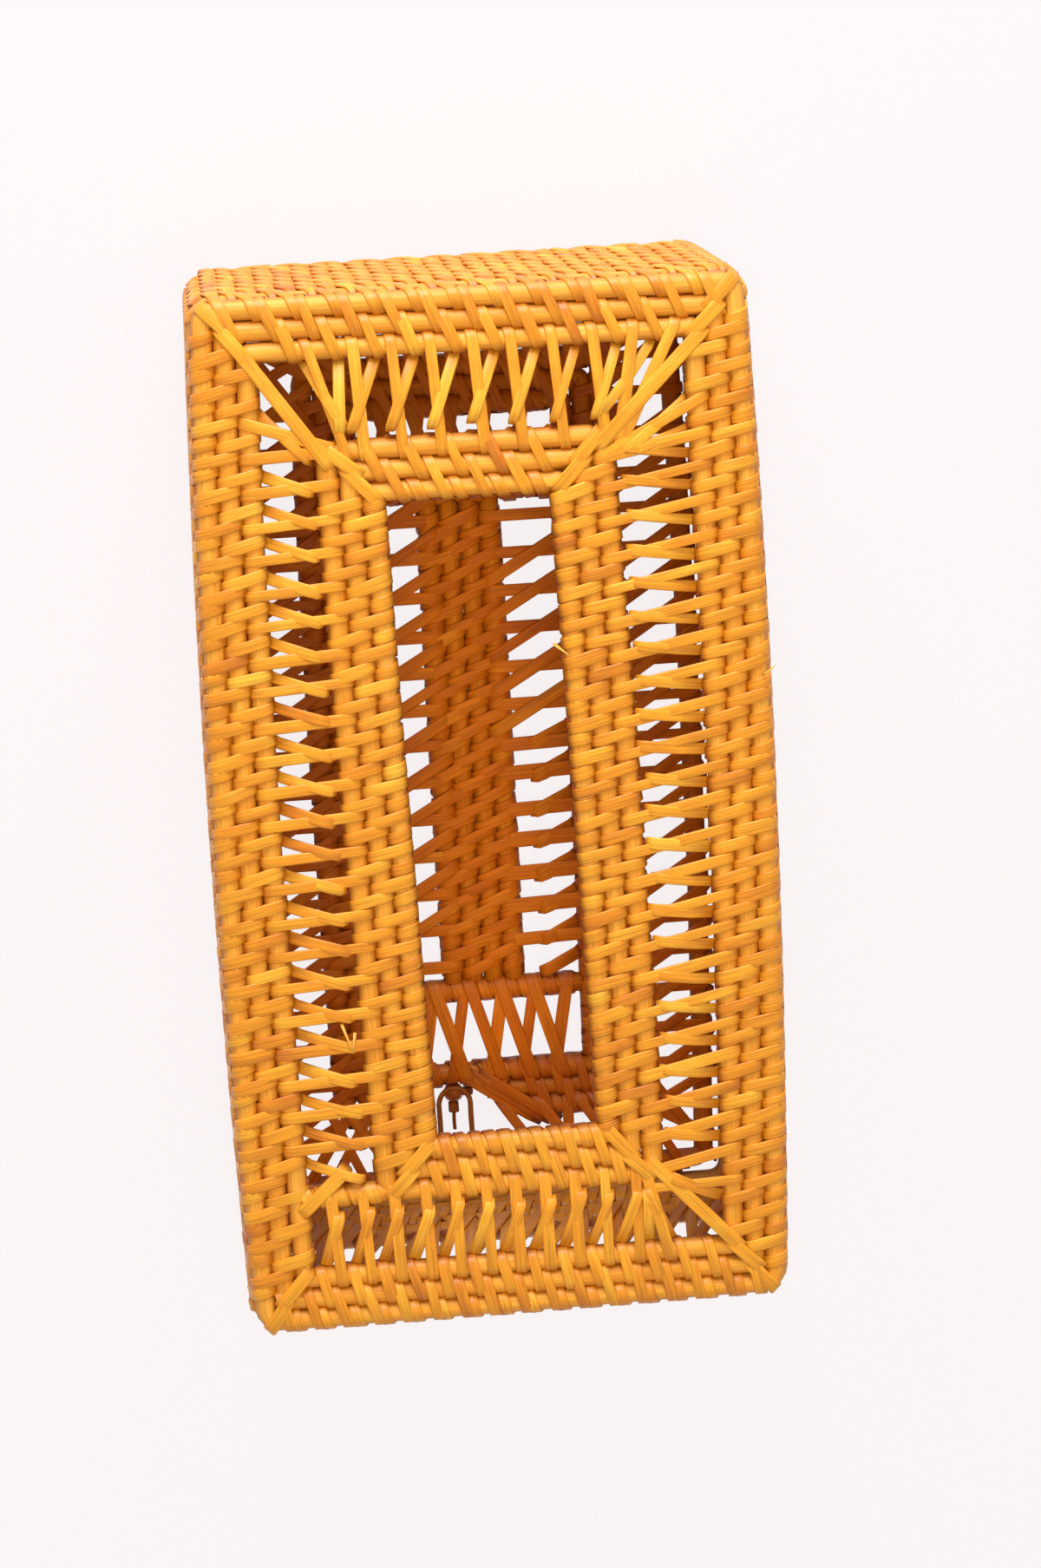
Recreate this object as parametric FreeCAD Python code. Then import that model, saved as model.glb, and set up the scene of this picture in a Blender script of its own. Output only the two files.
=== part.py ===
import FreeCAD, Part
import os

Vector = FreeCAD.Vector

# Outer size of the cover, in millimetres. +Y is the hinge end (head), +Z is up.
LENGTH = 262.0
WIDTH = 136.0
HEIGHT = 90.0

# Round rattan canes and the flat peel strands that lace them.
CANE_D = 5.0
CANE_GAP = 0.3
MITRE_GAP = 0.1
PEEL_T = 1.0
PEEL_W = 3.2
SEAT = 0.1

# Top panel: rim, the open gaps that the lacing spans, and the frame of the tissue slot.
RIM_CANES = 3
RIM_INSET = 0.7
SIDE_LACE = 16.0
HEAD_LACE = 20.1
FOOT_LACE = 16.1
SLOT_CANES = 3

# Foot wall: dense rows above and below an open belt.
FOOT_UPPER_ROWS = 5
FOOT_LOWER_ROWS = 4

# Base rim that the cover stands on, wrapped by short lashings with worn flats.
BASE_Z = 3.5
BASE_GAP = 1.6
LASHING_T = 1.2
LASHING_PLAY = 0.05
LASHING_W = 5.0
LASHING_SPREAD = 0.75

# Crossed lacing: distance from pair to pair, and where the two strands of a pair cross.
SIDE_PITCH = 7.7
END_PITCH = 9.5
BELT_PITCH = 9.5
FLAP_PITCH = 10.5
CROSS_AT = 0.62
LACE_LAP = 0.5
LACE_END = 2.0
LEAST_HOLE = 1.2

# Bottom flap: rim, outer lacing, band, lacing at its ends, cross bars, and the centre band.
FLAP_OFFSET = 6.7
FLAP_OUTER_LACE = 13.5
FLAP_BAND_CANES = 3
FLAP_END_LACE = 18.0
FLAP_CENTRE_CANES = 4

# Slanting notch in the flap's foot end, which leaves room for the closure.
NOTCH_LEFT = -20.0
NOTCH_RIGHT = -4.6
NOTCH_SLANT = 1.37

# Figure-eight lashings that hinge the flap on the base rim.
HINGE_COUNT = 3
HINGE_SPACING = 34.0
HINGE_W = 5.0
HINGE_T = 0.8
HINGE_PLAY = 0.08
HINGE_CLEAR = 0.4

# Bead-and-loop closure at the foot.
CLOSURE_X = -10.0
BEAD_D = 5.5
BEAD_BORE_PLAY = 0.05
TIE_D = 1.6
KNOT_D = 2.8
LOOP_D = 1.4
LOOP_REACH = 30.4
LOOP_INNER_W = 7.0
LOOP_PLAY = 0.06
EYE_W = 4.0
EYE_D = 3.2

CANE_R = CANE_D / 2
PITCH = CANE_D + CANE_GAP

# Heights: top canes, first and last wall rows, and the spacing of the rows.
TOP_Z = HEIGHT - PEEL_T - SEAT - CANE_R
FIRST_ROW_Z = TOP_Z - PITCH
LAST_ROW_Z = BASE_Z + CANE_D + BASE_GAP
ROW_COUNT = int((FIRST_ROW_Z - LAST_ROW_Z) / PITCH) + 1
ROW_STEP = (FIRST_ROW_Z - LAST_ROW_Z) / (ROW_COUNT - 1)

# Centre lines of the walls, the rim's outermost cane and the base rim.
WALL_X = WIDTH / 2 - CANE_R
WALL_Y = LENGTH / 2 - CANE_R
RIM_X = WALL_X - RIM_INSET
RIM_Y = WALL_Y - RIM_INSET
RIM_IN_X = RIM_X - (RIM_CANES - 1) * PITCH
RIM_IN_Y = RIM_Y - (RIM_CANES - 1) * PITCH
LASHING_BORE = CANE_R + LASHING_PLAY
LASHING_R = LASHING_BORE + LASHING_T
BASE_X = WIDTH / 2 - LASHING_R
BASE_Y = LENGTH / 2 - LASHING_R

# Centre lines of the slot frame's outermost and innermost canes, and how far it lies off centre.
SLOT_OUT_X = RIM_IN_X - CANE_D - SIDE_LACE
SLOT_OUT_Y = RIM_IN_Y - CANE_D - (HEAD_LACE + FOOT_LACE) / 2
SLOT_X = SLOT_OUT_X - (SLOT_CANES - 1) * PITCH
SLOT_Y = SLOT_OUT_Y - (SLOT_CANES - 1) * PITCH
SLOT_SHIFT = (FOOT_LACE - HEAD_LACE) / 2

# Centre lines of the flap's canes.
FLAP_X = BASE_X - FLAP_OFFSET
FLAP_Y = BASE_Y - FLAP_OFFSET
BAND_X = FLAP_X - CANE_D - FLAP_OUTER_LACE
BAND_Y = FLAP_Y - CANE_D - FLAP_OUTER_LACE
BAND_IN_X = BAND_X - (FLAP_BAND_CANES - 1) * PITCH
BAND_IN_Y = BAND_Y - (FLAP_BAND_CANES - 1) * PITCH
CENTRE_X = (FLAP_CENTRE_CANES - 1) * PITCH / 2
CROSS_BAR_Y = BAND_IN_Y - CANE_D - FLAP_END_LACE
CENTRE_END = CROSS_BAR_Y - CANE_R - SEAT

# The four sides, in turning order.
SIDES = ("right", "head", "left", "foot")


def offset_and_half(side, half_x, half_y):
    """Distance of a side from the middle, and half of the side's own length."""
    if side in ("right", "left"):
        return half_x, half_y
    return half_y, half_x


def turned(shape, side, centre_y=0.0):
    """Turns a shape made for the right-hand side to the named side."""
    turn = 360 * SIDES.index(side) / len(SIDES)
    shape.rotate(Vector(0, 0, 0), Vector(0, 0, 1), turn)
    shape.translate(Vector(0, centre_y, 0))
    return shape


def upright_block(points, low, high):
    """A block with the given outline, standing between two heights."""
    corners = [Vector(x, y, low) for x, y in points]
    face = Part.Face(Part.makePolygon(corners + corners[:1]))
    return face.extrude(Vector(0, 0, high - low))


def mitred_cane(side, half_x, half_y, z, centre_y=0.0):
    """One cane of a rectangular ring, cut at 45 degrees to meet its neighbours."""
    offset, half = offset_and_half(side, half_x, half_y)
    long_end = half + CANE_D - MITRE_GAP
    short_end = half - CANE_D - MITRE_GAP
    cane = Part.makeCylinder(CANE_R, 2 * long_end, Vector(offset, -long_end, z), Vector(0, 1, 0))
    outer, inner = offset + CANE_D, offset - CANE_D
    outline = [(inner, -short_end), (outer, -long_end), (outer, long_end), (inner, short_end)]
    cane = cane.common(upright_block(outline, z - CANE_D, z + CANE_D)).Solids[0]
    return turned(cane, side, centre_y)


def ring_side(side, half_x, half_y, z, count, centre_y=0.0):
    """One side of a flat band of concentric rings, from the outermost cane inwards."""
    canes = []
    for row in range(count):
        shrink = row * PITCH
        canes.append(mitred_cane(side, half_x - shrink, half_y - shrink, z, centre_y))
    return Part.makeCompound(canes)


def panel_point(corners, along, across):
    """A point of a lacing panel; both shares run from 0 to 1."""
    outer_a, outer_b, inner_a, inner_b = corners
    on_outer = outer_a + (outer_b - outer_a) * along
    on_inner = inner_a + (inner_b - inner_a) * along
    return on_outer + (on_inner - on_outer) * across


def lacing(corners, pitch):
    """A flat panel of crossed strands between two canes, as one holed face.

    The corners lie along the outer cane, then along the inner one. The panel laps the crests
    of both canes, and its holes lie in the gap between them.
    """
    outer_a, outer_b, inner_a, inner_b = corners
    depth = ((inner_a + inner_b) / 2 - (outer_a + outer_b) / 2).Length
    run = (outer_b - outer_a).Length
    lap = (CANE_R + LACE_LAP) / depth
    first = LACE_END / run
    pairs = max(2, round((run - 2 * LACE_END) / pitch))
    step = (1 - 2 * first) / pairs
    half = PEEL_W / 2 / (step * run)
    # At the inner cane the slanting strand has passed its partner by this share of the pitch.
    passed = 0.5 / CROSS_AT - 0.5

    def hole(outline):
        points = []
        for along, across in outline:
            points.append(panel_point(corners, first + step * along, lap + (1 - 2 * lap) * across))
        return Part.makePolygon(points + points[:1])

    wires = [Part.makePolygon([outer_a, outer_b, inner_b, inner_a, outer_a])]
    for pair in range(pairs):
        near, far = pair + half, pair + 1 - half
        main_hole = [
            (pair + 0.5 + half, 0),
            (far, 0),
            (far, CROSS_AT),
            (pair + 1 - passed - half, 1),
            (near, 1),
            (near, CROSS_AT),
        ]
        wires.append(hole(main_hole))
        foot = 0.5 - 2 * half
        if foot * step * run > LEAST_HOLE:
            wires.append(hole([(near, 0), (near + foot, 0), (near, 2 * foot * CROSS_AT)]))
    face = Part.makeFace(wires, "Part::FaceMakerBullseye")
    return face.extrude(Vector(0, 0, PEEL_T))


def lacing_between(side, outer, inner, z, pitch, centre_y=0.0):
    """Lacing of one side, from an outer ring of canes to an inner one."""
    out_x, out_y = outer[0] + LACE_LAP, outer[1] + LACE_LAP
    in_x, in_y = inner[0] - LACE_LAP, inner[1] - LACE_LAP
    signs = {"right": (1, -1, 1, 1), "head": (1, 1, -1, 1), "left": (-1, 1, -1, -1), "foot": (-1, -1, 1, -1)}
    ax, ay, bx, by = signs[side]
    outer_a, outer_b = Vector(ax * out_x, ay * out_y, z), Vector(bx * out_x, by * out_y, z)
    inner_a = Vector(ax * in_x, ay * in_y + centre_y, z)
    inner_b = Vector(bx * in_x, by * in_y + centre_y, z)
    gap = (outer_b - outer_a).normalize() * MITRE_GAP
    return lacing([outer_a + gap, outer_b - gap, inner_a + gap, inner_b - gap], pitch)


def top_panel(nodes):
    """Rim, slot frame, and the lacing that carries the frame."""
    for side in SIDES:
        nodes[f"top_rim_{side}"] = ring_side(side, RIM_X, RIM_Y, TOP_Z, RIM_CANES)
        nodes[f"slot_frame_{side}"] = ring_side(
            side, SLOT_OUT_X, SLOT_OUT_Y, TOP_Z, SLOT_CANES, SLOT_SHIFT
        )
        pitch = SIDE_PITCH if side in ("right", "left") else END_PITCH
        nodes[f"top_lacing_{side}"] = lacing_between(
            side, (RIM_IN_X, RIM_IN_Y), (SLOT_OUT_X, SLOT_OUT_Y), HEIGHT - PEEL_T, pitch, SLOT_SHIFT
        )


def corner_strips(outer, inner, centre_y):
    """Four flat strands laid over the mitres between two corner points of a panel."""
    strips = []
    half = PEEL_W / 2
    for sign_x in (-1, 1):
        for sign_y in (-1, 1):
            start = Vector(sign_x * outer[0], sign_y * outer[1] + centre_y, HEIGHT - PEEL_T)
            end = Vector(sign_x * inner[0], sign_y * inner[1] + centre_y, HEIGHT - PEEL_T)
            across = (end - start).cross(Vector(0, 0, 1)).normalize() * half
            outline = [start + across, end + across, end - across, start - across]
            face = Part.Face(Part.makePolygon(outline + outline[:1]))
            strips.append(face.extrude(Vector(0, 0, PEEL_T)))
    return Part.makeCompound(strips)


def corner_lashings(nodes):
    """Strands over the mitred corners of the rim and of the slot frame."""
    # The lacing's own corner is kept clear by the strip's half width and its lap.
    clear = LACE_LAP + PEEL_W / 2 + SEAT
    nodes["rim_corner_lashings"] = corner_strips(
        (RIM_X + RIM_INSET, RIM_Y + RIM_INSET), (RIM_IN_X + clear, RIM_IN_Y + clear), 0.0
    )
    nodes["slot_corner_lashings"] = corner_strips(
        (SLOT_OUT_X - clear, SLOT_OUT_Y - clear), (SLOT_X, SLOT_Y), SLOT_SHIFT
    )


def walls(nodes):
    """Dense rows on three sides; the foot wall has a laced belt between dense rows."""
    heights = [FIRST_ROW_Z - row * ROW_STEP for row in range(ROW_COUNT)]
    for side in ("head", "left", "right"):
        canes = [mitred_cane(side, WALL_X, WALL_Y, z) for z in heights]
        nodes[f"wall_{side}"] = Part.makeCompound(canes)
    upper = heights[:FOOT_UPPER_ROWS]
    lower = heights[-FOOT_LOWER_ROWS:]
    for name, rows in (("upper", upper), ("lower", lower)):
        canes = [mitred_cane("foot", WALL_X, WALL_Y, z) for z in rows]
        nodes[f"wall_foot_{name}"] = Part.makeCompound(canes)
    low, high = lower[0] - LACE_LAP, upper[-1] + LACE_LAP
    end = WALL_X - CANE_R - MITRE_GAP
    flat = [Vector(-end, high, 0), Vector(end, high, 0), Vector(-end, low, 0), Vector(end, low, 0)]
    belt = lacing(flat, BELT_PITCH)
    belt.rotate(Vector(0, 0, 0), Vector(1, 0, 0), 90)
    belt.translate(Vector(0, -WALL_Y + CANE_R + SEAT + PEEL_T, 0))
    nodes["wall_foot_lacing"] = belt


def base(nodes):
    """The base rim, and the lashings round it that the cover stands on."""
    lashings = []
    along = Vector(0, 1, 0)
    for side in SIDES:
        nodes[f"base_rim_{side}"] = mitred_cane(side, BASE_X, BASE_Y, BASE_Z)
        offset, half = offset_and_half(side, BASE_X, BASE_Y)
        for place in (-LASHING_SPREAD * half, LASHING_SPREAD * half):
            start = Vector(offset, place - LASHING_W / 2, BASE_Z)
            ring = Part.makeCylinder(LASHING_R, LASHING_W, start, along)
            ring = ring.cut(Part.makeCylinder(LASHING_BORE, LASHING_W, start, along))
            outer, inner = offset + CANE_D, offset - CANE_D
            outline = [(inner, -half), (outer, -half), (outer, half), (inner, half)]
            ring = ring.common(upright_block(outline, 0.0, BASE_Z + CANE_D)).Solids[0]
            lashings.append(turned(ring, side))
    nodes["base_lashings"] = Part.makeCompound(lashings)


def flap(nodes):
    """Canes and lacing of the bottom flap."""
    lace_z = BASE_Z + CANE_R + SEAT
    rim, band = (FLAP_X, FLAP_Y), (BAND_X, BAND_Y)
    for side in SIDES:
        nodes[f"flap_rim_{side}"] = mitred_cane(side, FLAP_X, FLAP_Y, BASE_Z)
        nodes[f"flap_band_{side}"] = ring_side(side, BAND_X, BAND_Y, BASE_Z, FLAP_BAND_CANES)
        nodes[f"flap_lacing_inner_{side}"] = inner_lacing(side, lace_z)
        outer = lacing_between(side, rim, band, lace_z, FLAP_PITCH)
        if side == "head":
            for x in hinge_places():
                outer = outer.cut(hinge_room(x))
            nodes["flap_lacing_outer_head"] = outer
        elif side == "foot":
            halves = outer.cut(notch()).Solids
            halves.sort(key=lambda solid: solid.CenterOfMass.x)
            nodes["flap_lacing_foot_left"] = halves[0]
            nodes["flap_lacing_foot_right"] = halves[-1]
        else:
            nodes[f"flap_lacing_outer_{side}"] = outer
    nodes["flap_band_foot"] = nodes["flap_band_foot"].cut(notch())
    canes = []
    for row in range(FLAP_CENTRE_CANES):
        start = Vector(row * PITCH - CENTRE_X, -CENTRE_END, BASE_Z)
        canes.append(Part.makeCylinder(CANE_R, 2 * CENTRE_END, start, Vector(0, 1, 0)))
    nodes["flap_centre_band"] = Part.makeCompound(canes)
    bars = []
    half = BAND_IN_X - CANE_R - SEAT
    for y in (-CROSS_BAR_Y, CROSS_BAR_Y):
        bars.append(Part.makeCylinder(CANE_R, 2 * half, Vector(-half, y, BASE_Z), Vector(1, 0, 0)))
    nodes["flap_cross_bars"] = Part.makeCompound(bars)


def inner_lacing(side, z):
    """Lacing inside the flap's band: beside the centre band, or from the band's end to a cross bar."""
    if side in ("right", "left"):
        outer, inner = BAND_IN_X + LACE_LAP, CENTRE_X - LACE_LAP
        half = CROSS_BAR_Y - LACE_LAP - MITRE_GAP
    else:
        outer, inner = BAND_IN_Y + LACE_LAP, CROSS_BAR_Y - LACE_LAP
        half = BAND_IN_X - CANE_R - MITRE_GAP
    corners = [Vector(outer, -half, z), Vector(outer, half, z), Vector(inner, -half, z), Vector(inner, half, z)]
    return turned(lacing(corners, FLAP_PITCH), side)


def notch():
    """The room for the closure in band and lacing: from the band's innermost foot cane outwards."""
    low = -BASE_Y
    high = -BAND_IN_Y - CANE_R - SEAT
    bend = -BAND_Y - CANE_D
    right = NOTCH_RIGHT + NOTCH_SLANT * (high - bend)
    outline = [(NOTCH_LEFT, low), (right, low), (right, bend), (NOTCH_RIGHT, high), (NOTCH_LEFT, high)]
    return upright_block(outline, 0.0, HEIGHT)


def hinge_places():
    """Positions of the hinge lashings along the head edge."""
    middle = (HINGE_COUNT - 1) / 2
    return [(index - middle) * HINGE_SPACING for index in range(HINGE_COUNT)]


def hinge_room(x):
    """The room that one hinge lashing takes out of the lacing beside it."""
    half = HINGE_W / 2 + HINGE_CLEAR
    front = FLAP_Y - CANE_R - HINGE_PLAY - HINGE_T - HINGE_CLEAR
    outline = [(x - half, front), (x + half, front), (x + half, BASE_Y), (x - half, BASE_Y)]
    return upright_block(outline, 0.0, HEIGHT)


def hinge_lashing(x):
    """A strand wound in a figure eight round the base cane and the flap's head cane."""
    radius = CANE_R + HINGE_PLAY + HINGE_T
    start = x - HINGE_W / 2
    low, high = BASE_Z - radius, BASE_Z + radius
    edges = [
        Part.makeLine(Vector(start, FLAP_Y, low), Vector(start, BASE_Y, low)),
        Part.Arc(
            Vector(start, BASE_Y, low), Vector(start, BASE_Y + radius, BASE_Z), Vector(start, BASE_Y, high)
        ).toShape(),
        Part.makeLine(Vector(start, BASE_Y, high), Vector(start, FLAP_Y, high)),
        Part.Arc(
            Vector(start, FLAP_Y, high), Vector(start, FLAP_Y - radius, BASE_Z), Vector(start, FLAP_Y, low)
        ).toShape(),
    ]
    along = Vector(1, 0, 0)
    pin = Part.makeCircle(CANE_R + HINGE_PLAY, Vector(start, BASE_Y, BASE_Z), along)
    grip = Part.makeCircle(CANE_R + LASHING_PLAY, Vector(start, FLAP_Y, BASE_Z), along)
    wires = [Part.Wire(edges), Part.Wire([pin]), Part.Wire([grip])]
    face = Part.makeFace(wires, "Part::FaceMakerBullseye")
    return face.extrude(along * HINGE_W)


def turned_piece(x, y, z, profile):
    """A piece turned about a line along Y; the profile gives distances along it and radii."""
    points = [Vector(x + radius, y + along, z) for along, radius in profile]
    face = Part.Face(Part.makePolygon(points + points[:1]))
    return face.revolve(Vector(x, y, z), Vector(0, 1, 0), 360)


def closure(nodes):
    """The flap's bead on its tie, and the cord loop that hangs in an eye on the foot wall."""
    tie_r, bead_r, knot_r, loop_r = TIE_D / 2, BEAD_D / 2, KNOT_D / 2, LOOP_D / 2
    tie_start = -BAND_IN_Y - CANE_R - SEAT
    bore = tie_r + BEAD_BORE_PLAY
    end = (bore + bead_r) / 2
    waist = bead_r - end
    bead = [(-bead_r, bore), (-bead_r, end), (-waist, bead_r), (waist, bead_r), (bead_r, end), (bead_r, bore)]
    bead_y = tie_start - SEAT - bead_r
    nodes["closing_bead"] = turned_piece(CLOSURE_X, bead_y, BASE_Z, bead)
    knot = bead_r + SEAT
    tie = [
        (tie_start - bead_y, 0),
        (tie_start - bead_y, tie_r),
        (-knot, tie_r),
        (-knot - knot_r / 2, knot_r),
        (-knot - knot_r, knot_r),
        (-knot - KNOT_D, tie_r),
        (-knot - KNOT_D, 0),
    ]
    nodes["bead_tie"] = turned_piece(CLOSURE_X, bead_y, BASE_Z, tie)
    eye_y = -WALL_Y + CANE_R + SEAT + EYE_D / 2
    start = Vector(CLOSURE_X - EYE_W / 2, eye_y, LAST_ROW_Z)
    tube = Part.makeCylinder(EYE_D / 2, EYE_W, start, Vector(1, 0, 0))
    nodes["loop_eye"] = tube.cut(Part.makeCylinder(loop_r + LOOP_PLAY, EYE_W, start, Vector(1, 0, 0)))
    nodes["closing_loop"] = cord_loop(eye_y, LAST_ROW_Z)


def cord_loop(eye_y, z):
    """A closed loop of cord: a straight run through the eye, two legs and a blunt end."""
    half = (LOOP_INNER_W + LOOP_D) / 2
    end = eye_y + LOOP_REACH
    outline = [
        (0, eye_y),
        (half, eye_y),
        (half, end - half),
        (half / 2, end),
        (-half / 2, end),
        (-half, end - half),
        (-half, eye_y),
    ]
    points = [Vector(CLOSURE_X + x, y, z) for x, y in outline]
    path = Part.Wire(Part.makePolygon(points + points[:1]))
    section = Part.Wire([Part.makeCircle(LOOP_D / 2, points[0], Vector(1, 0, 0))])
    right_corner = 1
    return path.makePipeShell([section], True, False, right_corner)


def main():
    """Builds every sub-part and writes one file for each."""
    os.makedirs("parts", exist_ok=True)
    nodes = {}
    top_panel(nodes)
    corner_lashings(nodes)
    walls(nodes)
    base(nodes)
    flap(nodes)
    nodes["hinge_lashings"] = Part.makeCompound([hinge_lashing(x) for x in hinge_places()])
    closure(nodes)
    for name, shape in nodes.items():
        shape.exportStep(f"parts/{name}.step")


main()
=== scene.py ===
"""Looks of a woven rattan tissue box cover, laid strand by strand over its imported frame."""
import logging
import math
from dataclasses import dataclass, field
from enum import Enum
from typing import Any, Callable, Sequence

import bpy
import numpy as np
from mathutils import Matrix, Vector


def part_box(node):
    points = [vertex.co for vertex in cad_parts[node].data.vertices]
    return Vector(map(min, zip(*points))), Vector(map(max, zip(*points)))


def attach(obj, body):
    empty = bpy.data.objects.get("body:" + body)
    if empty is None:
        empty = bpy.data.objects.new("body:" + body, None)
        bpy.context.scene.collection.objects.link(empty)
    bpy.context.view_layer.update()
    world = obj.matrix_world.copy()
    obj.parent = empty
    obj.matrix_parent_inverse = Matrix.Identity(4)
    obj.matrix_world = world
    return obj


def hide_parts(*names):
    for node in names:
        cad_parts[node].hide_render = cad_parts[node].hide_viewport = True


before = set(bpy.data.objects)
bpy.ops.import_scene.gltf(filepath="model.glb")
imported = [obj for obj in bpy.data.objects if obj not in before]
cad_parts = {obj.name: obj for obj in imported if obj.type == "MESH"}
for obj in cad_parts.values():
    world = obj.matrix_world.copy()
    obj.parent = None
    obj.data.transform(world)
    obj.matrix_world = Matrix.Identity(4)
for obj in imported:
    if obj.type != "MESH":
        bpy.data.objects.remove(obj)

log = logging.getLogger("tissue_box_cover")

# All lengths below are millimetres, as in the CAD; meshes are written in metres.
METRE = 0.001
# Round canes: radius, distance from one to the next, rows in a wall, faces round one of them.
CANE_R = 2.5
CANE_PITCH = 5.3
WALL_ROWS = 14
CANE_SIDES = 14
# What is added to the radius, so that neighbours nearly touch.
CANE_SWELL = 0.14
# A bent cane has points about this far apart. Each cane sways in so many waves of these sizes, and a
# loose end is rounded off over this length.
CANE_STEP = 7.0
CANE_WAVES = 5
WAVE_SIZES = (0.01, 0.035)
CANE_CAP = 0.3
# Each cane further in is bent more sharply at the corners by this much, down to a least radius.
CORNER_STEP = 2.6
LEAST_CORNER = 1.0
# Peel strands: thickness, and the three widths that they are split to.
PEEL_T = 0.75
PEEL_W = 3.1
LACE_W = 2.8
FLAP_LACE_W = 3.2
# A strand keeps this share of its thickness at the edges, and is flat over this share of its width.
EDGE_THIN = 0.66
FLAT_SHARE = 0.78
# Between two canes a strand dips below their centres by this share of the radius, and these are the
# angles at which it lies on the first cane that it crosses.
DIP = 0.4
CLIMB = (-62, -34, -6)
# Distance from one strand to the next: on the long sides, at the head and in the foot's belt, on the
# foot wall and its edge, and in the flap's lacing.
SIDE_PITCH = 8.3
END_PITCH = 9.8
FOOT_PITCH = 7.5
FLAP_PITCH = 10.2
# Lean of the strands in degrees, at the head and elsewhere.
HEAD_LEAN = 21.0
USUAL_LEAN = 13.0
# The long sides stand out in the middle, as the photograph shows: share of the half width.
BOW = 0.036
HALF_LENGTH = 128.5
# The slot frame lies this far to the left in its lacing, and turned by this slope. What lies within
# this far of the middle, across and along, goes with it, fading out over these widths.
FRAME_SHIFT = 0.9
FRAME_TURN = 0.022
FRAME_FIELD = (52.0, 115.0)
FRAME_FADE = (16.0, 18.0)
# Spread of the strands' shades, and how far apart in the grain two of them may be cut.
TONE_SPREAD = 0.13
GRAIN_SPREAD = 90.0
RNG = np.random.default_rng(41)

Point = tuple[float, float]
Place = tuple[float, float, float]

# Directions in a section.
OUTWARD = (1.0, 0.0)
INWARD = (-1.0, 0.0)
UP = (0.0, 1.0)
DOWN = (0.0, -1.0)
# Signs of x and y at the four corners of the box.
CORNERS = ((-1, -1), (-1, 1), (1, -1), (1, 1))


def lowest(node: str) -> np.ndarray:
    """Lowest corner of a CAD node's box, in millimetres."""
    return np.array(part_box(node)[0]) / METRE


def highest(node: str) -> np.ndarray:
    """Highest corner of a CAD node's box, in millimetres."""
    return np.array(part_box(node)[1]) / METRE


def settle(spots: np.ndarray, body: str) -> np.ndarray:
    """Set points of a body as the hand-made one has them, not as drawn.

    The long sides stand out in the middle, and the slot frame lies slightly turned in its lacing.

    Args:
        spots: Rows of x, y, z in millimetres.
        body: The body that they belong to.

    Returns:
        The moved points.
    """
    x, y = spots[:, 0], spots[:, 1]
    held = np.ones(len(spots))
    for across, half, fade in zip((x, y), FRAME_FIELD, FRAME_FADE):
        held *= np.clip((half - np.abs(across)) / fade, 0, 1)
    turned_x = x - held * (FRAME_SHIFT + FRAME_TURN * y) * (body == "cover")
    bowed_x = turned_x * (1.0 + BOW * (1.0 - (y / HALF_LENGTH) ** 2))
    return np.column_stack([bowed_x, y, spots[:, 2]])


def unit(vectors: np.ndarray) -> np.ndarray:
    """Rows of an array scaled to length one."""
    return vectors / np.maximum(np.linalg.norm(vectors, axis=-1, keepdims=True), 1e-9)


def straight_path(start: Place, end: Place, count: int) -> np.ndarray:
    """So many points, evenly spaced from start to end."""
    return np.linspace(start, end, count)


class Side(Enum):
    """The four sides of the box, with the direction out of it and the way round it from above."""

    RIGHT = ((1.0, 0.0), (0.0, 1.0))
    HEAD = ((0.0, 1.0), (-1.0, 0.0))
    LEFT = ((-1.0, 0.0), (0.0, -1.0))
    FOOT = ((0.0, -1.0), (1.0, 0.0))

    @property
    def long(self) -> bool:
        """Whether this is one of the two long sides."""
        return self in (Side.RIGHT, Side.LEFT)

    @property
    def pitch(self) -> float:
        """Distance along the side from one repeat of the weave to the next."""
        if self is Side.FOOT:
            return FOOT_PITCH
        return SIDE_PITCH if self.long else END_PITCH

    @property
    def peel_w(self) -> float:
        """Width of the strands that are woven along the side."""
        return PEEL_W if self.long else LACE_W

    @property
    def word(self) -> str:
        """The side's name, as the frame writes it."""
        return self.name.lower()


def on_sides(node: str) -> list[str]:
    """The names that a node has on the four sides."""
    return [f"{node}_{side.word}" for side in Side]


@dataclass(frozen=True)
class Section:
    """An upright plane across a side, in which a strand is drawn, and the way along the side."""

    outward: Point
    forward: Point
    origin: Point = (0.0, 0.0)

    def place(self, u: np.ndarray, a: np.ndarray, z: np.ndarray) -> np.ndarray:
        """Turn distances along, outward and up into points.

        Args:
            u: Distances along the side.
            a: Distances outward from the origin.
            z: Heights.

        Returns:
            One row of x, y, z for each point.
        """
        x = self.origin[0] + self.outward[0] * a + self.forward[0] * u
        y = self.origin[1] + self.outward[1] * a + self.forward[1] * u
        return np.stack([x, y, z], axis=-1)

    def direct(self, a: np.ndarray, z: np.ndarray) -> np.ndarray:
        """Turn directions in the section into directions in space."""
        return np.stack([self.outward[0] * a, self.outward[1] * a, z], axis=-1)


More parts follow.
